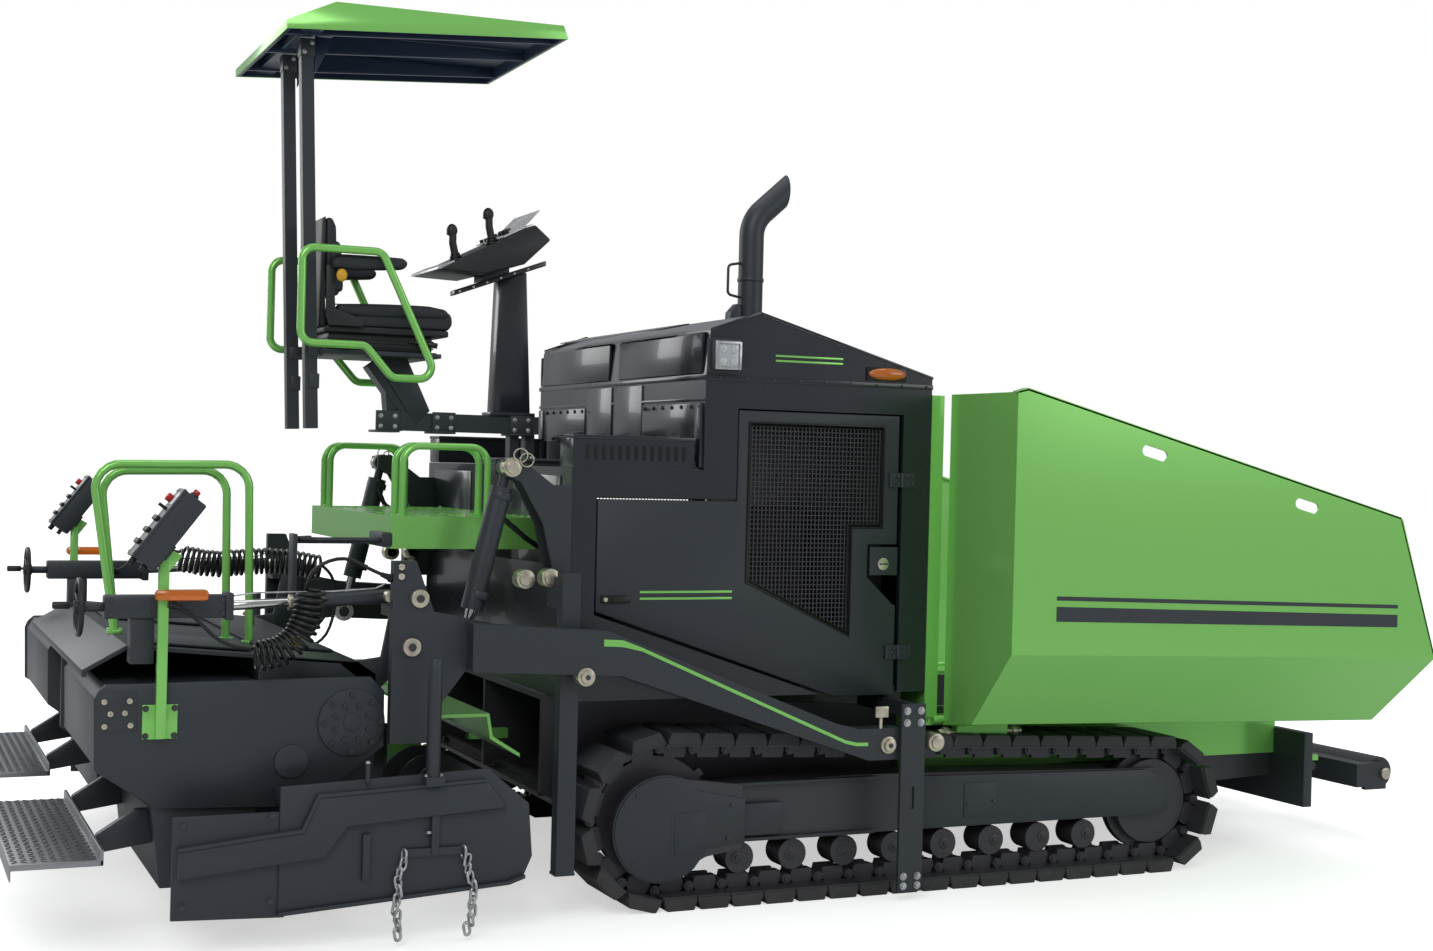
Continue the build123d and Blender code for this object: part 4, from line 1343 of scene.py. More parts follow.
def build_seat():
    """Padded cushion, back and arm rests on their suspension."""
    y = STATION_Y
    cushion = pad(((-1938, 2262), (-1938, 2330), (-1800, 2338), (-1560, 2342), (-1470, 2352),
                   (-1424, 2335), (-1418, 2290), (-1440, 2262)),
                  y - 226, y + 226, 26, 0.018)
    bolsters = []
    for sign in (-1, 1):
        bolsters.append(pad(((-1900, 2300), (-1900, 2352), (-1520, 2360), (-1440, 2350), (-1436, 2310)),
                            y + sign * 158, y + sign * 232, 18, 0.006, 0.0))
    cushion = finished([cushion, *bolsters], "seat_pad", "root", "seat_vinyl", 60, ["seat_cushion"])
    back = pad(((-1942, 2385), (-1888, 2385), (-1884, 2450), (-1900, 2560), (-1905, 2660),
                (-1922, 2698), (-1948, 2696)),
               y - 208, y + 208, 18, 0.004, 0.002)
    wings = []
    for sign in (-1, 1):
        wings.append(pad(((-1930, 2400), (-1872, 2400), (-1874, 2480), (-1886, 2600), (-1928, 2610)),
                         y + sign * 150, y + sign * 214, 16, 0.0, 0.0))
    back = finished([back, *wings], "seat_back_pad", "root", "seat_vinyl", 60, ["seat_back"])
    rests = []
    for sign in (-1, 1):
        rests.append(pad(((-1935, 2486), (-1935, 2530), (-1900, 2545), (-1650, 2545),
                          (-1622, 2530), (-1640, 2500), (-1850, 2484)),
                         y + sign * 250 - 33, y + sign * 250 + 33, 16, 0.003, 0.0))
    rests = finished(rests, "arm_rests", "root", "seat_vinyl", 60)
    seams = []
    for sign in (-1, 1):
        seams.append(tube([(x * MM, (y + sign * 152) * MM, z * MM) for x, z in (
            (-1900, 2354), (-1700, 2362), (-1520, 2364), (-1440, 2352), (-1421, 2310))], 0.0025, bend=0.02, sides=2))
        seams.append(tube([(x * MM, (y + sign * 146) * MM, z * MM) for x, z in (
            (-1883, 2400), (-1880, 2470), (-1896, 2600), (-1903, 2680))], 0.0025, bend=0.02, sides=2))
    finished(seams, "seat_piping", "root", "seat_piping")
    frame_bars, levers = [], []
    for sign in (-1, 1):
        out = y + sign * 250
        frame_bars.append(slab(
            (
                (-1952, 2300), (-1952, 2500), (-1925, 2500), (-1915, 2330), (-1800, 2290),
                (-1800, 2262), (-1940, 2262)
            ),
            out - 8, out + 8, 3
        ))
    shell = slab(
        ((-1962, 2262), (-1962, 2690), (-1950, 2700), (-1946, 2400), (-1940, 2262)), y - 205,
        y + 205, 2
    )
    pan = [
        block((-1945, -1440), (y - 232, y + 232), (2238, 2264), 6),
        block((-1930, -1500), (y - 205, y + 205), (2170, 2240), 10)
    ]
    for z in (2186, 2200, 2214):
        pan.append(block((-1934, -1496), (y - 210, y + 210), (z, z + 6), 2))
    finished([*frame_bars, shell, *pan], "seat_frame", "root", "plastic", replaces=["seat_base"])
    for sign in (-1, 1):
        levers.append(bar((-1600, y + sign * 205, 2215), (-1520, y + sign * 240, 2205), 7, 2, 12))
        levers.append(bar((-1530, y + sign * 236, 2206), (-1490, y + sign * 246, 2200), 12, 3, 12))
    finished(levers, "seat_levers", "root", "rubber")
    finished(
        [ball((-1.90, (y - 290) * MM, 2.46), (0.022, 0.014, 0.026))], "seat_knob", "root",
        "yellow_knob"
    )


def build_station(sizes):
    """Clamps, brace plates, bolts and the bottle ring of the operator's station."""
    y = STATION_Y
    clamps, spots = [], []
    for x, z in ((-1640, 1846), (-1400, 1846), (-1060, 1846)):
        clamps.append(block((x - 50, x + 50), (y - 66, y + 66), (z, z + 10), 2))
        clamps.append(block((x - 50, x + 50), (y - 60, y - 50), (z, z + 90), 2))
        spots += [(x + dx, y - 60, z + dz) for dx in (-30, 30) for dz in (25, 68)]
    clamps.append(slab(
        ((-1700, 2150), (-1560, 2150), (-1460, 1940), (-1520, 1880)), y - 52, y - 44, 2
    ))
    clamps.append(block((-1965, -1470), (y - 240, y + 240), (2150, 2168), 3))
    clamps.append(block((-1130, -630), (y - 310, y + 310), (1738, 1752), 4))
    finished(clamps, "station_clamps", "root", "black_paint")
    bolts("station_bolts", "root", "galvanised", sizes.small_bolt, spots, (0, -1, 0))
    spots = [(x, y + dy, 1752) for x in (-1090, -880, -670) for dy in (-285, 285)]
    bolts("station_plate_bolts", "root", "galvanised", sizes.small_bolt, spots, (0, 0, 1))
    band = [
        tube([(-1.76, -0.52, 1.42), (-1.76, -0.68, 1.42), (-2.02, -0.68, 1.42),
              (-2.10, -0.60, 1.42), (-2.02, -0.52, 1.42)],
             0.010, bend=0.035, cyclic=False),
        block((-1780, -1735), (-700, -500), (1395, 1450), 4),
        block((-2110, -2092), (-640, -560), (1200, 1440), 3),
        block((-2100, -1750), (-612, -588), (1402, 1414), 2),
    ]
    finished(band, "bottle_ring", "root", "black_paint")


def build_platform(sizes):
    """Bolts and tread studs of the green step platform."""
    spots = [(x, sign * 640, 1515) for x in (-1700, -1430, -1160) for _, sign in SIDES]
    bolts("platform_bolts", "root", "zinc", sizes.small_bolt, spots, (0, 0, 1))
    studs = []
    for _, sign in SIDES:
        studs += lozenges((0.011, 0.0035, 0.0022), 9, 5, lambda row, column: (
            -1.70 + row * 0.066, sign * (0.34 + column * 0.06), 1.516))
    finished(studs, "platform_studs", "root", "green_paint", 0)


# ------------------------------------------------------------------ screed

TELESCOPES = ((-1985, 778, 80), (-2200, 645, 40))


def build_screed():
    """Fixed front box of the screed with its cover, ears and web."""
    front = slab((
        (-2300, 215), (-1880, 215), (-1866, 700), (-1866, 940), (-1930, 985), (-2300, 1017)), -1000, 1000, 0)
    for x, z, radius in TELESCOPES:
        cut(front, bar((x, -1100, z), (x, 1100, z), radius + 1, 0, 40))
    round_edges(front, 0.004)
    cover = slab((
        (-1930, 985), (-2760, 1060), (-2910, 975), (-2910, 950), (-2895, 950), (-2895, 966),
        (-2756, 1044), (-2300, 1003), (-1940, 972)), -1000, 1000, 2)
    web = slab(
        (
            (-2880, 640), (-2880, 960), (-2756, 1046), (-2299, 1005), (-2299, 240), (-2640, 240),
            (-2690, 500)
        ),
        -10, 10, 1
    )
    parts = [front, cover, web]
    ear = ((-2010, 979), (-1866, 870), (-1740, 990), (-1715, 1250), (-1800, 1270), (-1850, 1000))
    for _, sign in SIDES:
        parts.append(side_slabs(ear, sign, 980, 1000, 3))
        for x, z in ((-1758, 1230), (-1784, 1053)):
            parts.append(pin(sign, x, z, 1001, 1126, 22, 3))
    finished(parts, "screed_box", "screed", "black_paint", replaces=["screed"])
    lids = [
        slab(((-2700, 1058), (-2698, 1066), (-2310, 1031), (-2311, 1024)), y, y + 420, 1.5) for y in (-940, 130, 560)]
    lids.append(slab(((-2250, 1017), (-2249, 1026), (-1960, 1000), (-1961, 991)), -700, 700, 1.5))
    lids.append(block((-1868, -1858), (-930, 930), (520, 900), 3))
    finished(lids, "screed_lids", "screed", "black_paint")
    spots = [(
        x, y, 1046 - (x + 2700) * 0.0904
    ) for y in (-925, -535, 145, 535, 575, 965) for x in (-2680, -2330)]
    bolts("screed_lid_bolts", "screed", "galvanised", 0.014, spots, (0.09, 0, 1))
    fittings = []
    for y in (-620, -580, -540, 300, 340):
        fittings.append(bar((-2080, y, 1003), (-2080, y, 1050), 12, 2, 6))
        fittings.append(bar((-2080, y, 1048), (-2110, y, 1058), 9, 2, 12))
    finished(fittings, "screed_fittings", "screed", "brass")


def build_extensions(sizes):
    """Extension boxes, side plates, telescopes, flanges and their screws."""
    for side, sign in SIDES:
        out = out_of(side)
        body = f"extension_{side}"
        face = 1120 + out
        shell = side_slabs((
            (-2645, 215), (-2680, 500), (-2868, 645), (-2872, 880), (-2840, 930), (-2318, 930), (-2318, 215)),
            sign, 20 + out, 1100 + out, 3)
        tubes = []
        for x, z, radius in TELESCOPES:
            tubes.append(pin(sign, x, z, 1100 + out, 140 + out, radius, 2, 40))
        side_plate = side_slabs((
            (-2876, 640), (-2881, 882), (-2868, 912), (-2843, 936), (-1916, 942), (-1865, 889),
            (-1862, 687), (-2142, 482), (-2666, 498)), sign, 1100 + out, face, 5)
        finished(
            [shell, side_plate], f"extension_box_{side}", body, "black_paint",
            replaces=[f"screed_extension_{side}"]
        )
        finished(tubes, f"telescopes_{side}", body, "black_paint")
        flange = [
            pin(sign, -1985, 778, face - 2, face + 8, 122, 2, 64),
            pin(sign, -1985, 778, face, face + 12, 32, 3, 32),
            pin(sign, -2200, 645, face - 2, face + 8, 60, 2, 40),
        ]
        finished(flange, f"tube_flange_{side}", body, "black_paint")
        spots = []
        for count, radius, half in ((8, 104, 0), (8, 66, 0.5)):
            for k in range(count):
                a = 2 * math.pi * (k + half) / count
                spots.append((
                    -1985 + radius * math.sin(a), sign * (face + 8), 778 + radius * math.cos(a)
                ))
        screws(f"flange_screws_{side}", body, "dark_steel", sizes.bolt, spots, (0, sign, 0))
        spots = [(x, sign * face, z) for x, z in (
            (-2847, 877), (-2763, 878), (-2826, 835), (-2778, 837), (-2845, 792), (-2759, 794))]
        screws(f"side_plate_screws_{side}", body, "zinc", sizes.bolt * 1.1, spots, (0, sign, 0))
        patch = side_slabs(
            ((-2872, 770), (-2874, 884), (-2842, 910), (-2738, 908), (-2738, 772)), sign, face,
            face + 3, 1
        )
        finished(patch, f"side_plate_patch_{side}", body, "black_paint")


def build_walkways():
    """Tread plates with raised lozenges and their brackets behind the screed."""
    for side, sign in SIDES:
        out = out_of(side)
        body = f"extension_{side}"
        tread = block((-3150, -2850), (sign * (20 + out), sign * (1240 + out)), (336, 358), 3)
        kick = block((-2862, -2850), (sign * (20 + out), sign * (1240 + out)), (336, 392), 3)
        bracket = (
            (-2664, 362), (-2678, 482), (-2720, 482), (-2850, 400), (-2851, 337), (-2840, 336)
        )
        brackets = [side_slabs(bracket, sign, y - 20 + out, y + 20 + out, 3) for y in (200, 1000)]
        walkway = finished([tread, kick], f"walkway_{side}", body, "tread_plate")
        if side == "right":
            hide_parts("walkways")
        finished(brackets, f"walkway_brackets_{side}", body, "black_paint")
        studs = lozenges((0.0105, 0.0028, 0.0024), 9, 38, lambda row, column: (
            -3.134 + row * 0.0318, sign * (0.035 + out * MM + column * 0.0318), 0.3585))
        finished(studs, f"walkway_studs_{side}", body, "tread_plate", 0)
        low = [block((-3150, -3146), (sign * (20 + out), sign * (1240 + out)), (300, 340), 1)]
        finished(low, f"walkway_edge_{side}", body, "tread_plate")


def build_thickness_screws(sizes):
    """Thickness screws with their supports, rods, pins and hand wheels."""
    for side, sign in SIDES:
        y = sign * 1060
        housing = block((-2849, -2421), (sign * 1020, sign * 1100), (1160, 1240), 6)
        support = block((-2760, -2680), (sign * 1000, sign * 1090), (1000, 1161), 4)
        sleeve = bar((-2200, y, 1210), (-1842, y, 1232), 26, 3)
        cap = block((-2440, -2412), (sign * 1012, sign * 1108), (1152, 1248), 4)
        spindle = bar((-2930, y, 1199), (-2849, y, 1199), 16, 2)
        finished([housing, support, sleeve, cap, spindle], f"thickness_screw_{side}", "screed", "black_paint",
                 replaces=["thickness_screws"] if side == "right" else ())
        finished(
            bar((-2421, y, 1200), (-2180, y, 1211), 18, 1.5), f"thickness_rod_{side}", "screed",
            "chrome"
        )
        pins = [pin(sign, -1850, 1232, 1124, 1020, 22, 3),
                bar((-2212, y, 1210), (-2196, y, 1210), 30, 2, 6)]
        finished(pins, f"thickness_pin_{side}", "screed", "zinc")
        rim = ring((-2.931, y * MM, 1.199), (1, 0, 0), 0.094, 0.0095, 48)
        spokes = [bar((-2931, y, 1199), (-2931, y + 90 * math.cos(a), 1199 + 90 * math.sin(a)), 7, 1, 12)
                  for a in (math.radians(30), math.radians(150), math.radians(270))]
        hub = bar((-2948, y, 1199), (-2912, y, 1199), 24, 3)
        grip = bar((-3010, y + 88, 1199), (-2950, y + 88, 1199), 13, 4)
        neck = bar((-2955, y + 88, 1199), (-2931, y + 88, 1199), 6, 1, 12)
        finished([rim, *spokes, hub, grip, neck], f"hand_wheel_{side}", "screed", "plastic")
        spots = [(x, sign * 1100, z) for x in (-2830, -2700, -2570, -2450) for z in (1176, 1224)]
        bolts(
            f"thickness_bolts_{side}", "screed", "dark_steel", sizes.small_bolt, spots, (0, sign, 0)
        )
        wire = tube([(x * MM, (y + sign * 30) * MM, z * MM) for x, z in (
            (-2420, 1236), (-2330, 1248), (-2060, 1252), (-1900, 1262), (-1862, 1280))], 0.003, bend=0.03, sides=2)
        finished(wire, f"sensor_rod_{side}", "screed", "galvanised")


def build_control_posts():
    """Green posts with feet and the black control boxes on them."""
    for side, sign in SIDES:
        out = out_of(side)
        body = f"extension_{side}"
        y = sign * (1138 + out)
        post = [
            block((-2678, -2642), (y - 15, y + 15), (745, 1372), 4),
            block((-2720, -2600), (sign * (1120.5 + out), sign * (1127 + out)), (742, 863), 3),
        ]
        finished(
            post, f"control_mast_{side}", body, "green_paint", replaces=[f"control_post_{side}"]
        )
        spots = [(x, sign * (1127 + out), z) for x in (-2709, -2611) for z in (754, 850)]
        bolts(f"mast_bolts_{side}", body, "dark_steel", 0.014, spots, (0, sign, 0))
        place = Matrix.Translation((-2.650, y * MM, 1.470)) @ Matrix.Rotation(
            math.radians(36.87), 4, "Y"
        )
        shell = [box((-0.046, -0.060, -0.143), (0.046, 0.060, 0.143), 0.007, 3)]
        shell.append(box((-0.052, -0.064, -0.1445), (-0.040, 0.064, 0.1445), 0.003))
        shell.append(box((0.044, -0.030, -0.09), (0.056, 0.030, -0.03), 0.003))
        knobs = [rod(
            (-0.052, k, h), (-0.066, k, h), 0.010, 16, 0.002
        ) for k in (-0.032, 0.0, 0.032) for h in (-0.09, -0.04, 0.01)]
        knobs += [
            rod((-0.05, 0.0, 0.055), (-0.082, 0.0, 0.055), 0.006, 12),
            rod((0.0, 0.02, 0.140), (0.0, 0.02, 0.156), 0.017, 20, 0.003)
        ]
        knobs += [
            rod((-0.03, 0, -0.143), (-0.03, 0, -0.170), 0.012, 16, 0.002),
            rod((0.012, -0.02, -0.143), (0.012, -0.02, -0.166), 0.010, 16, 0.002)
        ]
        red = [
            rod((-0.052, 0.035, 0.095), (-0.074, 0.035, 0.095), 0.015, 20, 0.004),
            rod((0.0, 0.02, 0.152), (0.0, 0.02, 0.172), 0.013, 20, 0.004)
        ]
        label = [box((-0.0535, -0.05, 0.075), (-0.0515, 0.015, 0.125), 0.0008)]
        screws = [rod(
            (-0.052, k, h), (-0.0555, k, h), 0.004, 8
        ) for k in (-0.055, 0.055) for h in (-0.132, 0.132)]
        for parts, name, finish in (
            (shell, "control_box", "black_paint"), (knobs, "control_knobs", "rubber"),
            (red, "control_stop", "red_button"),
            (label, "control_panel", "white_panel"), (screws, "control_screws", "galvanised"),
        ):
            for part in parts:
                part.data.transform(place)
            finished(parts, f"{name}_{side}", body, finish)
        brace = slab(
            ((-2672, 1330), (-2640, 1330), (-2600, 1382), (-2700, 1440)), y - 10, y + 10, 2
        )
        finished(brace, f"control_brace_{side}", body, "green_paint")


def build_hoops():
    """Two bent guard hoops standing on the screed's cover."""
    outer = (
        (-2.745, -0.52, 1.066), (-2.840, -0.52, 1.690), (-2.260, -0.52, 1.700),
        (-2.245, -0.52, 1.021)
    )
    inner = (
        (-2.735, -0.44, 1.066), (-2.800, -0.44, 1.665), (-2.330, -0.44, 1.675),
        (-2.320, -0.44, 1.024)
    )
    bars = [tube(outer, 0.016, bend=0.09), tube(inner, 0.016, bend=0.09)]
    for x, y, z in (
        (-2745, -520, 1062), (-2245, -520, 1015), (-2735, -440, 1062), (-2320, -440, 1021)
    ):
        bars.append(bar((x, y, z - 6), (x, y, z + 8), 30, 2))
    finished(bars, "guard_rails", "screed", "green_paint", 50, ["guard_hoops"])


CHAIN_PITCH = 31                    # mm between the links of a gate chain


def chain_links(start, drop, lean, body, name):
    """A hanging chain of plated oval links below start, in millimetres."""
    link = ring((0, 0, 0), (0, 1, 0), 0.0125, 0.0055, sides=14)
    for vertex in link.data.vertices:
        vertex.co.z += 0.010 if vertex.co.z > 0 else -0.010
    links = []
    count = int(drop / CHAIN_PITCH)
    for k in range(count):
        sway = lean * math.sin(k / count * math.pi * 0.9) + 5 * math.sin(k * 1.9)
        place = Vector((
            start[0] + sway, start[1] + 4 * math.sin(k * 1.1), start[2] - CHAIN_PITCH * (k + 0.5)
        )) * MM
        turn = Matrix.Rotation(math.radians(20 if k % 2 else 112), 4, "Z")
        tilt = Matrix.Rotation(math.radians(12 * math.sin(k * 1.3)), 4, "Y")
        links.append(copy_to(link, Matrix.Translation(place) @ tilt @ turn))
    bpy.data.objects.remove(link)
    return finished(links, name, body, "galvanised", 60)


def build_end_gates(sizes):
    """End gates with their cranked channels, slots, yokes, bolts and chains."""
    for side, sign in SIDES:
        out = out_of(side)
        body = f"extension_{side}"
        face = 1308 + out
        rear = side_slabs(
            ((-2636, 145), (-2636, 500), (-2260, 500), (-2250, 130)), sign, 1290 + out, 1302 + out,
            3
        )
        front = side_slabs(((-2274, 142), (-2274, 588), (-1523, 620), (-1363, 485), (-1346, 290),
                            (-1379, 216), (-1440, 196)),
                           sign, 1296 + out, face, 4)
        support = block((-2260, -2158), (sign * (1120 + out), sign * (1292 + out)), (510, 560), 4)
        finished(
            [rear, front, support], f"end_gate_plates_{side}", body, "black_paint",
            replaces=[f"end_gate_{side}"]
        )
        channel = side_slabs(
            ((-2620, 290), (-2620, 390), (-2290, 425), (-2200, 430), (-2145, 552), (-1535, 580),
             (-1452, 478), (-2040, 440), (-2120, 335), (-2400, 310)),
            sign, face, face + 30, 9)
        lip = side_slabs(((-2620, 386), (-2290, 421), (-2196, 428), (-2142, 548), (-1535, 577),
                          (-1538, 588), (-2150, 560), (-2204, 440), (-2292, 433), (-2620, 398)),
                         sign, face - 4, face + 36, 2)
        skid = side_slabs(
            ((-2274, 138), (-2274, 152), (-1440, 206), (-1376, 226), (-1374, 212), (-1436, 192)),
            sign, 1290 + out, face + 14, 2
        )
        finished([channel, lip, skid], f"gate_channel_{side}", body, "black_paint")
        screw = [
            block((-1770, -1700), (sign * face, sign * (1366 + out)), (572, 606), 5),
            bar((-1738, sign * (1337 + out), 600), (-1738, sign * (1337 + out), 1027), 25, 3),
            block((-1985, -1958), (sign * face, sign * (face + 26)), (245, 410), 4),
            block((-1838, -1604), (sign * face, sign * (face + 16)), (316, 346), 3),
            block((-1735, -1707), (sign * face, sign * (face + 22)), (318, 470), 3),
            bar((-1972, sign * (face + 16), 590), (-1972, sign * (face + 16), 660), 9, 2, 12),
        ]
        finished(screw, f"gate_screw_{side}", body, "black_paint")
        spots = [(x, sign * (face + 12), z) for x, z in ((-1972, 262), (-1972, 398))]
        spots += [
            (x, sign * (1302 + out), z) for x,
            z in ((-2600, 470), (-2300, 488), (-2600, 190), (-2300, 190))
        ]
        spots += [(x, sign * face, z) for x, z in ((-2020, 470), (-1905, 480))]
        bolts(f"gate_bolts_{side}", body, "dark_steel", sizes.bolt, spots, (0, sign, 0))
        spots = [(x, sign * (1337 + out), 606) for x in (-1760, -1710)]
        spots += [(-1972, sign * (face + 16), 660), (-1745, sign * (face + 18), 400)]
        bolts(f"gate_nuts_{side}", body, "galvanised", 0.014, spots, (0, 0, 1))
        chain_links((-1833, sign * (face + 16), 340), 315, -24, body, f"gate_chain_rear_{side}")
        chain_links((-1613, sign * (face + 16), 340), 315, 40, body, f"gate_chain_front_{side}")


# ------------------------------------------------------------------ arms and pins


def build_arms():
    """Green line, plated pins, bolts and guide plates of the levelling arms."""
    wide, slim = 0.013, 0.007
    line = (
        (-1.062, 1.064, wide), (-0.985, 1.060, wide), (-0.905, 1.036, slim),
        (-0.020, 0.652, slim), (0.030, 0.640, slim), (0.084, 0.638, slim),
    )
    upper = [(x, z + w) for x, z, w in line]
    lower = [(x, z - w) for x, z, w in reversed(line)]
    for side, sign in SIDES:
        stripe = plate([*upper, *lower], "side", sign * 1.2495, sign * 1.2515)
        finished(stripe, f"arm_stripe_{side}", "screed", "green_paint")
        arm, root, washers = [], [], []
        for x, z in ((-1131, 937), (177, 632)):
            arm.append(pin(sign, x, z, 1200, 1274, 26, 4))
            arm.append(pin(sign, x, z, 1200, 1258, 35, 2))
            washers.append(pin(sign, x, z, 1270, 1276, 11, 1, 6))
        for x, z in ((-1758, 1230), (-1784, 1053)):
            arm.append(pin(sign, x, z, 1160, 1190, 34, 4))
            washers.append(pin(sign, x, z, 1186, 1196, 15, 2))
        for x, z in ((-1828, 1310), (-1828, 1345)):
            arm.append(pin(sign, x, z, 1170, 1182, 13, 2, 6))
        finished(arm, f"arm_pins_{side}", "screed", "zinc")
        finished(washers, f"arm_pin_ends_{side}", "screed", "dark_steel")
        for x, z, y in (
            (-1363, 1716, 1020), (397, 635, 1262), (-1299, 1289, 1020), (-1198, 1293, 1020)
        ):
            root.append(pin(sign, x, z, y - 60, y + 14, 27, 4))
            root.append(pin(sign, x, z, y - 60, y + 2, 37, 2))
        for x, z in ((-1335, 1762), (-1310, 1745)):
            root.append(ring((x * MM, sign * 1.03, z * MM), (0.2, 1, 0.1), 0.026, 0.003))
        finished(root, f"tractor_pins_{side}", "root", "zinc")
        spots = [(x, sign * 1276, z) for x in (248, 312) for z in (770, 722, 62, 100)]
        bolts(f"guide_bolts_{side}", "root", "galvanised", 0.020, spots, (0, sign, 0))
        lug = block((110, 170), (sign * 1252, sign * 1262), (745, 790), 3)
        stem = bar((140, sign * 1250, 700), (140, sign * 1250, 745), 8, 2, 12)
        finished([lug, stem], f"tow_sight_{side}", "screed", "zinc")
        hose_points = (
            (-1.40, 0.905, 1.62), (-1.36, 0.895, 1.52), (-1.25, 0.86, 1.44), (-1.17, 0.80, 1.40),
            (-1.12, 0.78, 1.38)
        )
        hose = tube([(x, sign * y, z) for x, y, z in hose_points], 0.011, bend=0.05)
        finished(hose, f"lift_pipe_{side}", "root", "rubber")
        glands = [
            bar((-1470, sign * 950, 1210), (-1463, sign * 950, 1240), 47, 3, 28),
            bar((-1388, sign * 950, 1590), (-1383, sign * 950, 1618), 46, 3, 28),
        ]
        finished(glands, f"lift_glands_{side}", f"lift_barrel_{side}", "black_paint")
        posts = block((-1204, -1123), (sign * 1098, sign * 1164), (172, 184), 3)
        finished(posts, f"post_shoes_{side}", "root", "black_paint")


# ------------------------------------------------------------------ operators


class PAVER_OT_stage(bpy.types.Operator):
    """Floor, lamps, world and camera"""

    bl_idname = "paver.stage"
    bl_label = "Studio"

    def execute(self, context):
        build_stage()
        return {"FINISHED"}


class PAVER_OT_finishes(bpy.types.Operator):
    """Make every finish and give each CAD node its own"""

    bl_idname = "paver.finishes"
    bl_label = "Finishes"

    def execute(self, context):
        make_all_finishes(context.scene.paver_colours)
        finish_nodes()
        return {"FINISHED"}


class PAVER_OT_cables(bpy.types.Operator):
    """Curly control cables with their strain reliefs"""

    bl_idname = "paver.cables"
    bl_label = "Control cables"

    def execute(self, context):
        build_cables(context.scene.paver_sizes)
        return {"FINISHED"}


class PAVER_OT_tracks(bpy.types.Operator):
    """Shoes, links and pins of both tracks"""

    bl_idname = "paver.tracks"
    bl_label = "Tracks"

    def execute(self, context):
        build_tracks(context.scene.paver_sizes)
        return {"FINISHED"}


class PAVER_OT_track_covers(bpy.types.Operator):
    """Covers, panels and bolts of the track frames"""

    bl_idname = "paver.track_covers"
    bl_label = "Track covers"

    def execute(self, context):
        build_track_covers(context.scene.paver_sizes)
        return {"FINISHED"}


class PAVER_OT_augers(bpy.types.Operator):
    """Helical flights of both augers"""

    bl_idname = "paver.augers"
    bl_label = "Augers"

    def execute(self, context):
        build_augers()
        return {"FINISHED"}


class PAVER_OT_front_plate(bpy.types.Operator):
    """Cross plate and push beam pins"""

    bl_idname = "paver.front_plate"
    bl_label = "Front plate"

    def execute(self, context):
        build_front_plate()
        return {"FINISHED"}


class PAVER_OT_doors(bpy.types.Operator):
    """Panels, wire mesh, hinges and latches"""

    bl_idname = "paver.doors"
    bl_label = "Side doors"

    def execute(self, context):
        build_doors(context.scene.paver_sizes)
        return {"FINISHED"}


class PAVER_OT_hood(bpy.types.Operator):
    """Seams, strips, panels, lids and exhaust fittings"""

    bl_idname = "paver.hood"
    bl_label = "Hood"

    def execute(self, context):
        build_hood(context.scene.paver_sizes)
        return {"FINISHED"}


class PAVER_OT_lamps(bpy.types.Operator):
    """Work lamps and amber markers"""

    bl_idname = "paver.lamps"
    bl_label = "Lamps"

    def execute(self, context):
        build_lamps()
        return {"FINISHED"}


class PAVER_OT_wings(bpy.types.Operator):
    """Folded sheets of the hopper wings"""

    bl_idname = "paver.wings"
    bl_label = "Hopper wings"

    def execute(self, context):
        build_wings()
        return {"FINISHED"}


class PAVER_OT_hopper(bpy.types.Operator):
    """Hinge brackets, bolts and bands of the wings"""

    bl_idname = "paver.hopper"
    bl_label = "Hopper fittings"

    def execute(self, context):
        build_hopper_fittings()
        return {"FINISHED"}


class PAVER_OT_canopy(bpy.types.Operator):
    """Canopy sheet, lining and ribs in painted shade, and clamps"""

    bl_idname = "paver.canopy"
    bl_label = "Canopy"

    def execute(self, context):
        build_canopy(context.scene.paver_sizes)
        return {"FINISHED"}


class PAVER_OT_console(bpy.types.Operator):
    """Console, joysticks, panel and stand"""

    bl_idname = "paver.console"
    bl_label = "Console"

    def execute(self, context):
        build_console()
        return {"FINISHED"}


class PAVER_OT_seat(bpy.types.Operator):
    """Padded cushion, back, arm rests and frame"""

    bl_idname = "paver.seat"
    bl_label = "Seat"

    def execute(self, context):
        build_seat()
        return {"FINISHED"}


class PAVER_OT_station(bpy.types.Operator):
    """Clamps, bolts and bottle ring"""

    bl_idname = "paver.station"
    bl_label = "Station"

    def execute(self, context):
        build_station(context.scene.paver_sizes)
        return {"FINISHED"}


class PAVER_OT_platform(bpy.types.Operator):
    """Bolts and studs of the step platform"""

    bl_idname = "paver.platform"
    bl_label = "Platform"

    def execute(self, context):
        build_platform(context.scene.paver_sizes)
        return {"FINISHED"}


class PAVER_OT_screed(bpy.types.Operator):
    """Front box, cover, ears and web"""

    bl_idname = "paver.screed"
    bl_label = "Screed box"

    def execute(self, context):
        build_screed()
        return {"FINISHED"}


class PAVER_OT_extensions(bpy.types.Operator):
    """Extension boxes, telescopes and flanges"""

    bl_idname = "paver.extensions"
    bl_label = "Extensions"

    def execute(self, context):
        build_extensions(context.scene.paver_sizes)
        return {"FINISHED"}


class PAVER_OT_walkways(bpy.types.Operator):
    """Tread plates and brackets"""

    bl_idname = "paver.walkways"
    bl_label = "Walkways"

    def execute(self, context):
        build_walkways()
        return {"FINISHED"}


class PAVER_OT_thickness_screws(bpy.types.Operator):
    """Housings, rods and hand wheels"""

    bl_idname = "paver.thickness_screws"
    bl_label = "Thickness screws"

    def execute(self, context):
        build_thickness_screws(context.scene.paver_sizes)
        return {"FINISHED"}


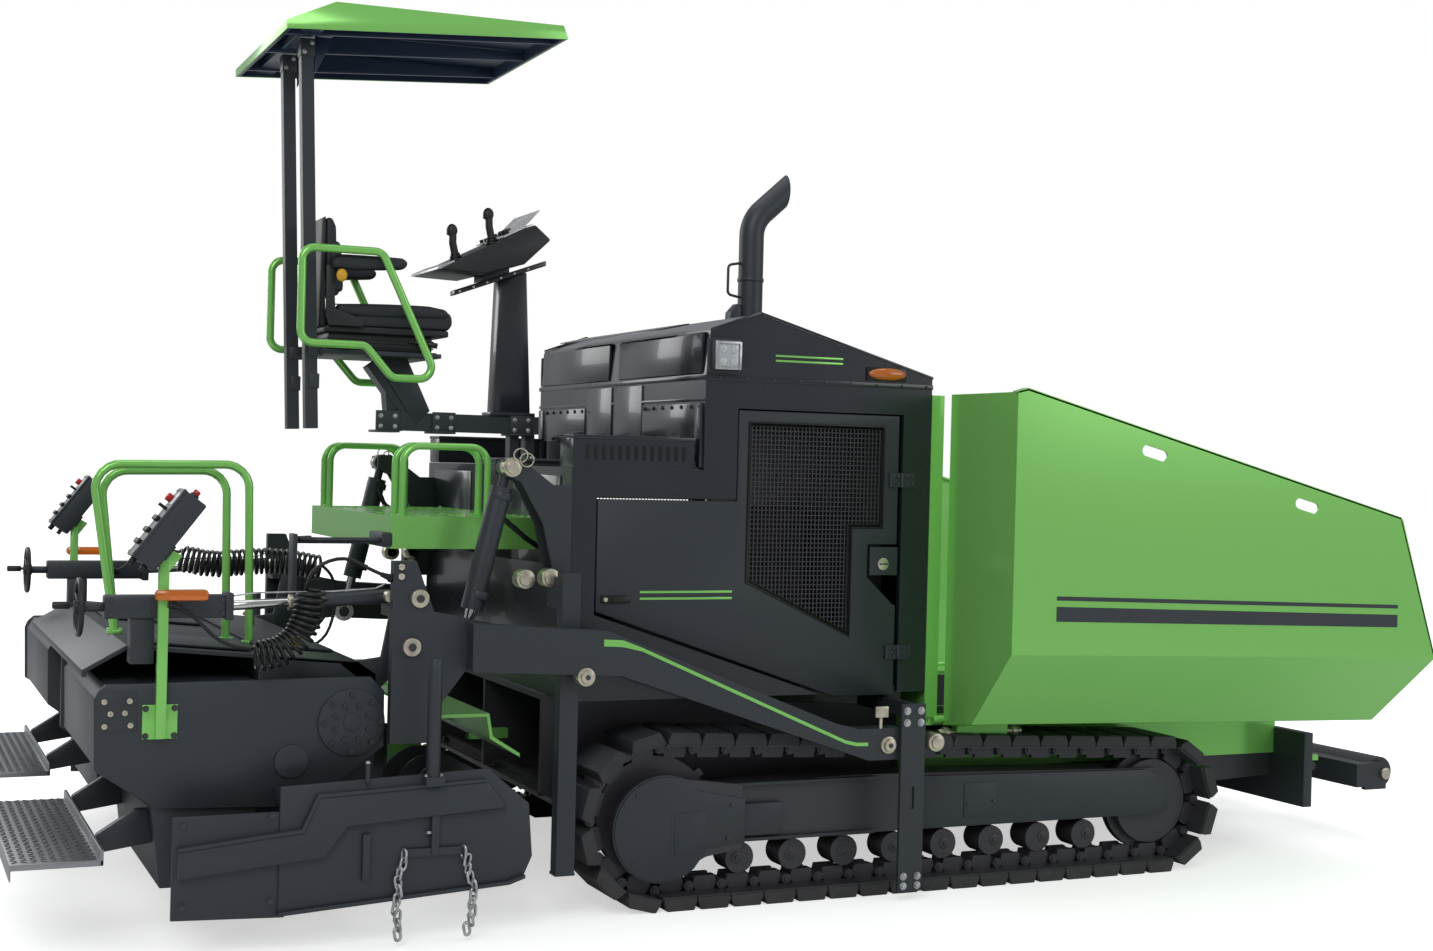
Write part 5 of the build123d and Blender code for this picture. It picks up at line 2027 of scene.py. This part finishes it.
class PAVER_OT_control_posts(bpy.types.Operator):
    """Masts and control boxes"""

    bl_idname = "paver.control_posts"
    bl_label = "Control posts"

    def execute(self, context):
        build_control_posts()
        return {"FINISHED"}


class PAVER_OT_hoops(bpy.types.Operator):
    """Bent guard rails on the screed"""

    bl_idname = "paver.hoops"
    bl_label = "Guard hoops"

    def execute(self, context):
        build_hoops()
        return {"FINISHED"}


class PAVER_OT_end_gates(bpy.types.Operator):
    """Gates, channels, bolts and chains"""

    bl_idname = "paver.end_gates"
    bl_label = "End gates"

    def execute(self, context):
        build_end_gates(context.scene.paver_sizes)
        return {"FINISHED"}


class PAVER_OT_arms(bpy.types.Operator):
    """Stripes, pins and guide bolts"""

    bl_idname = "paver.arms"
    bl_label = "Levelling arms"

    def execute(self, context):
        build_arms()
        return {"FINISHED"}


OPERATORS = [
    PAVER_OT_stage,
    PAVER_OT_finishes,
    PAVER_OT_cables,
    PAVER_OT_tracks,
    PAVER_OT_track_covers,
    PAVER_OT_augers,
    PAVER_OT_front_plate,
    PAVER_OT_doors,
    PAVER_OT_hood,
    PAVER_OT_lamps,
    PAVER_OT_wings,
    PAVER_OT_hopper,
    PAVER_OT_canopy,
    PAVER_OT_console,
    PAVER_OT_seat,
    PAVER_OT_station,
    PAVER_OT_platform,
    PAVER_OT_screed,
    PAVER_OT_extensions,
    PAVER_OT_walkways,
    PAVER_OT_thickness_screws,
    PAVER_OT_control_posts,
    PAVER_OT_hoops,
    PAVER_OT_end_gates,
    PAVER_OT_arms,
]


class PAVER_PT_panel(bpy.types.Panel):
    """The paver's pieces, sizes and colours"""

    bl_idname = "PAVER_PT_panel"
    bl_label = "Asphalt paver"
    bl_space_type = "VIEW_3D"
    bl_region_type = "UI"
    bl_category = "Paver"

    def draw(self, context):
        for operator in OPERATORS:
            self.layout.operator(operator.bl_idname)
        for settings in (context.scene.paver_sizes, context.scene.paver_colours):
            for name in settings.__annotations__:
                self.layout.prop(settings, name)


CLASSES = [PaverColours, PaverSizes, *OPERATORS, PAVER_PT_panel]


def register():
    for item in CLASSES:
        bpy.utils.register_class(item)
    bpy.types.Scene.paver_sizes = bpy.props.PointerProperty(type=PaverSizes)
    bpy.types.Scene.paver_colours = bpy.props.PointerProperty(type=PaverColours)


def unregister():
    del bpy.types.Scene.paver_sizes
    del bpy.types.Scene.paver_colours
    for item in reversed(CLASSES):
        bpy.utils.unregister_class(item)


def main():
    register()
    for operator in OPERATORS:
        group, name = operator.bl_idname.split(".")
        getattr(getattr(bpy.ops, group), name)()


if __name__ == "__main__":
    main()
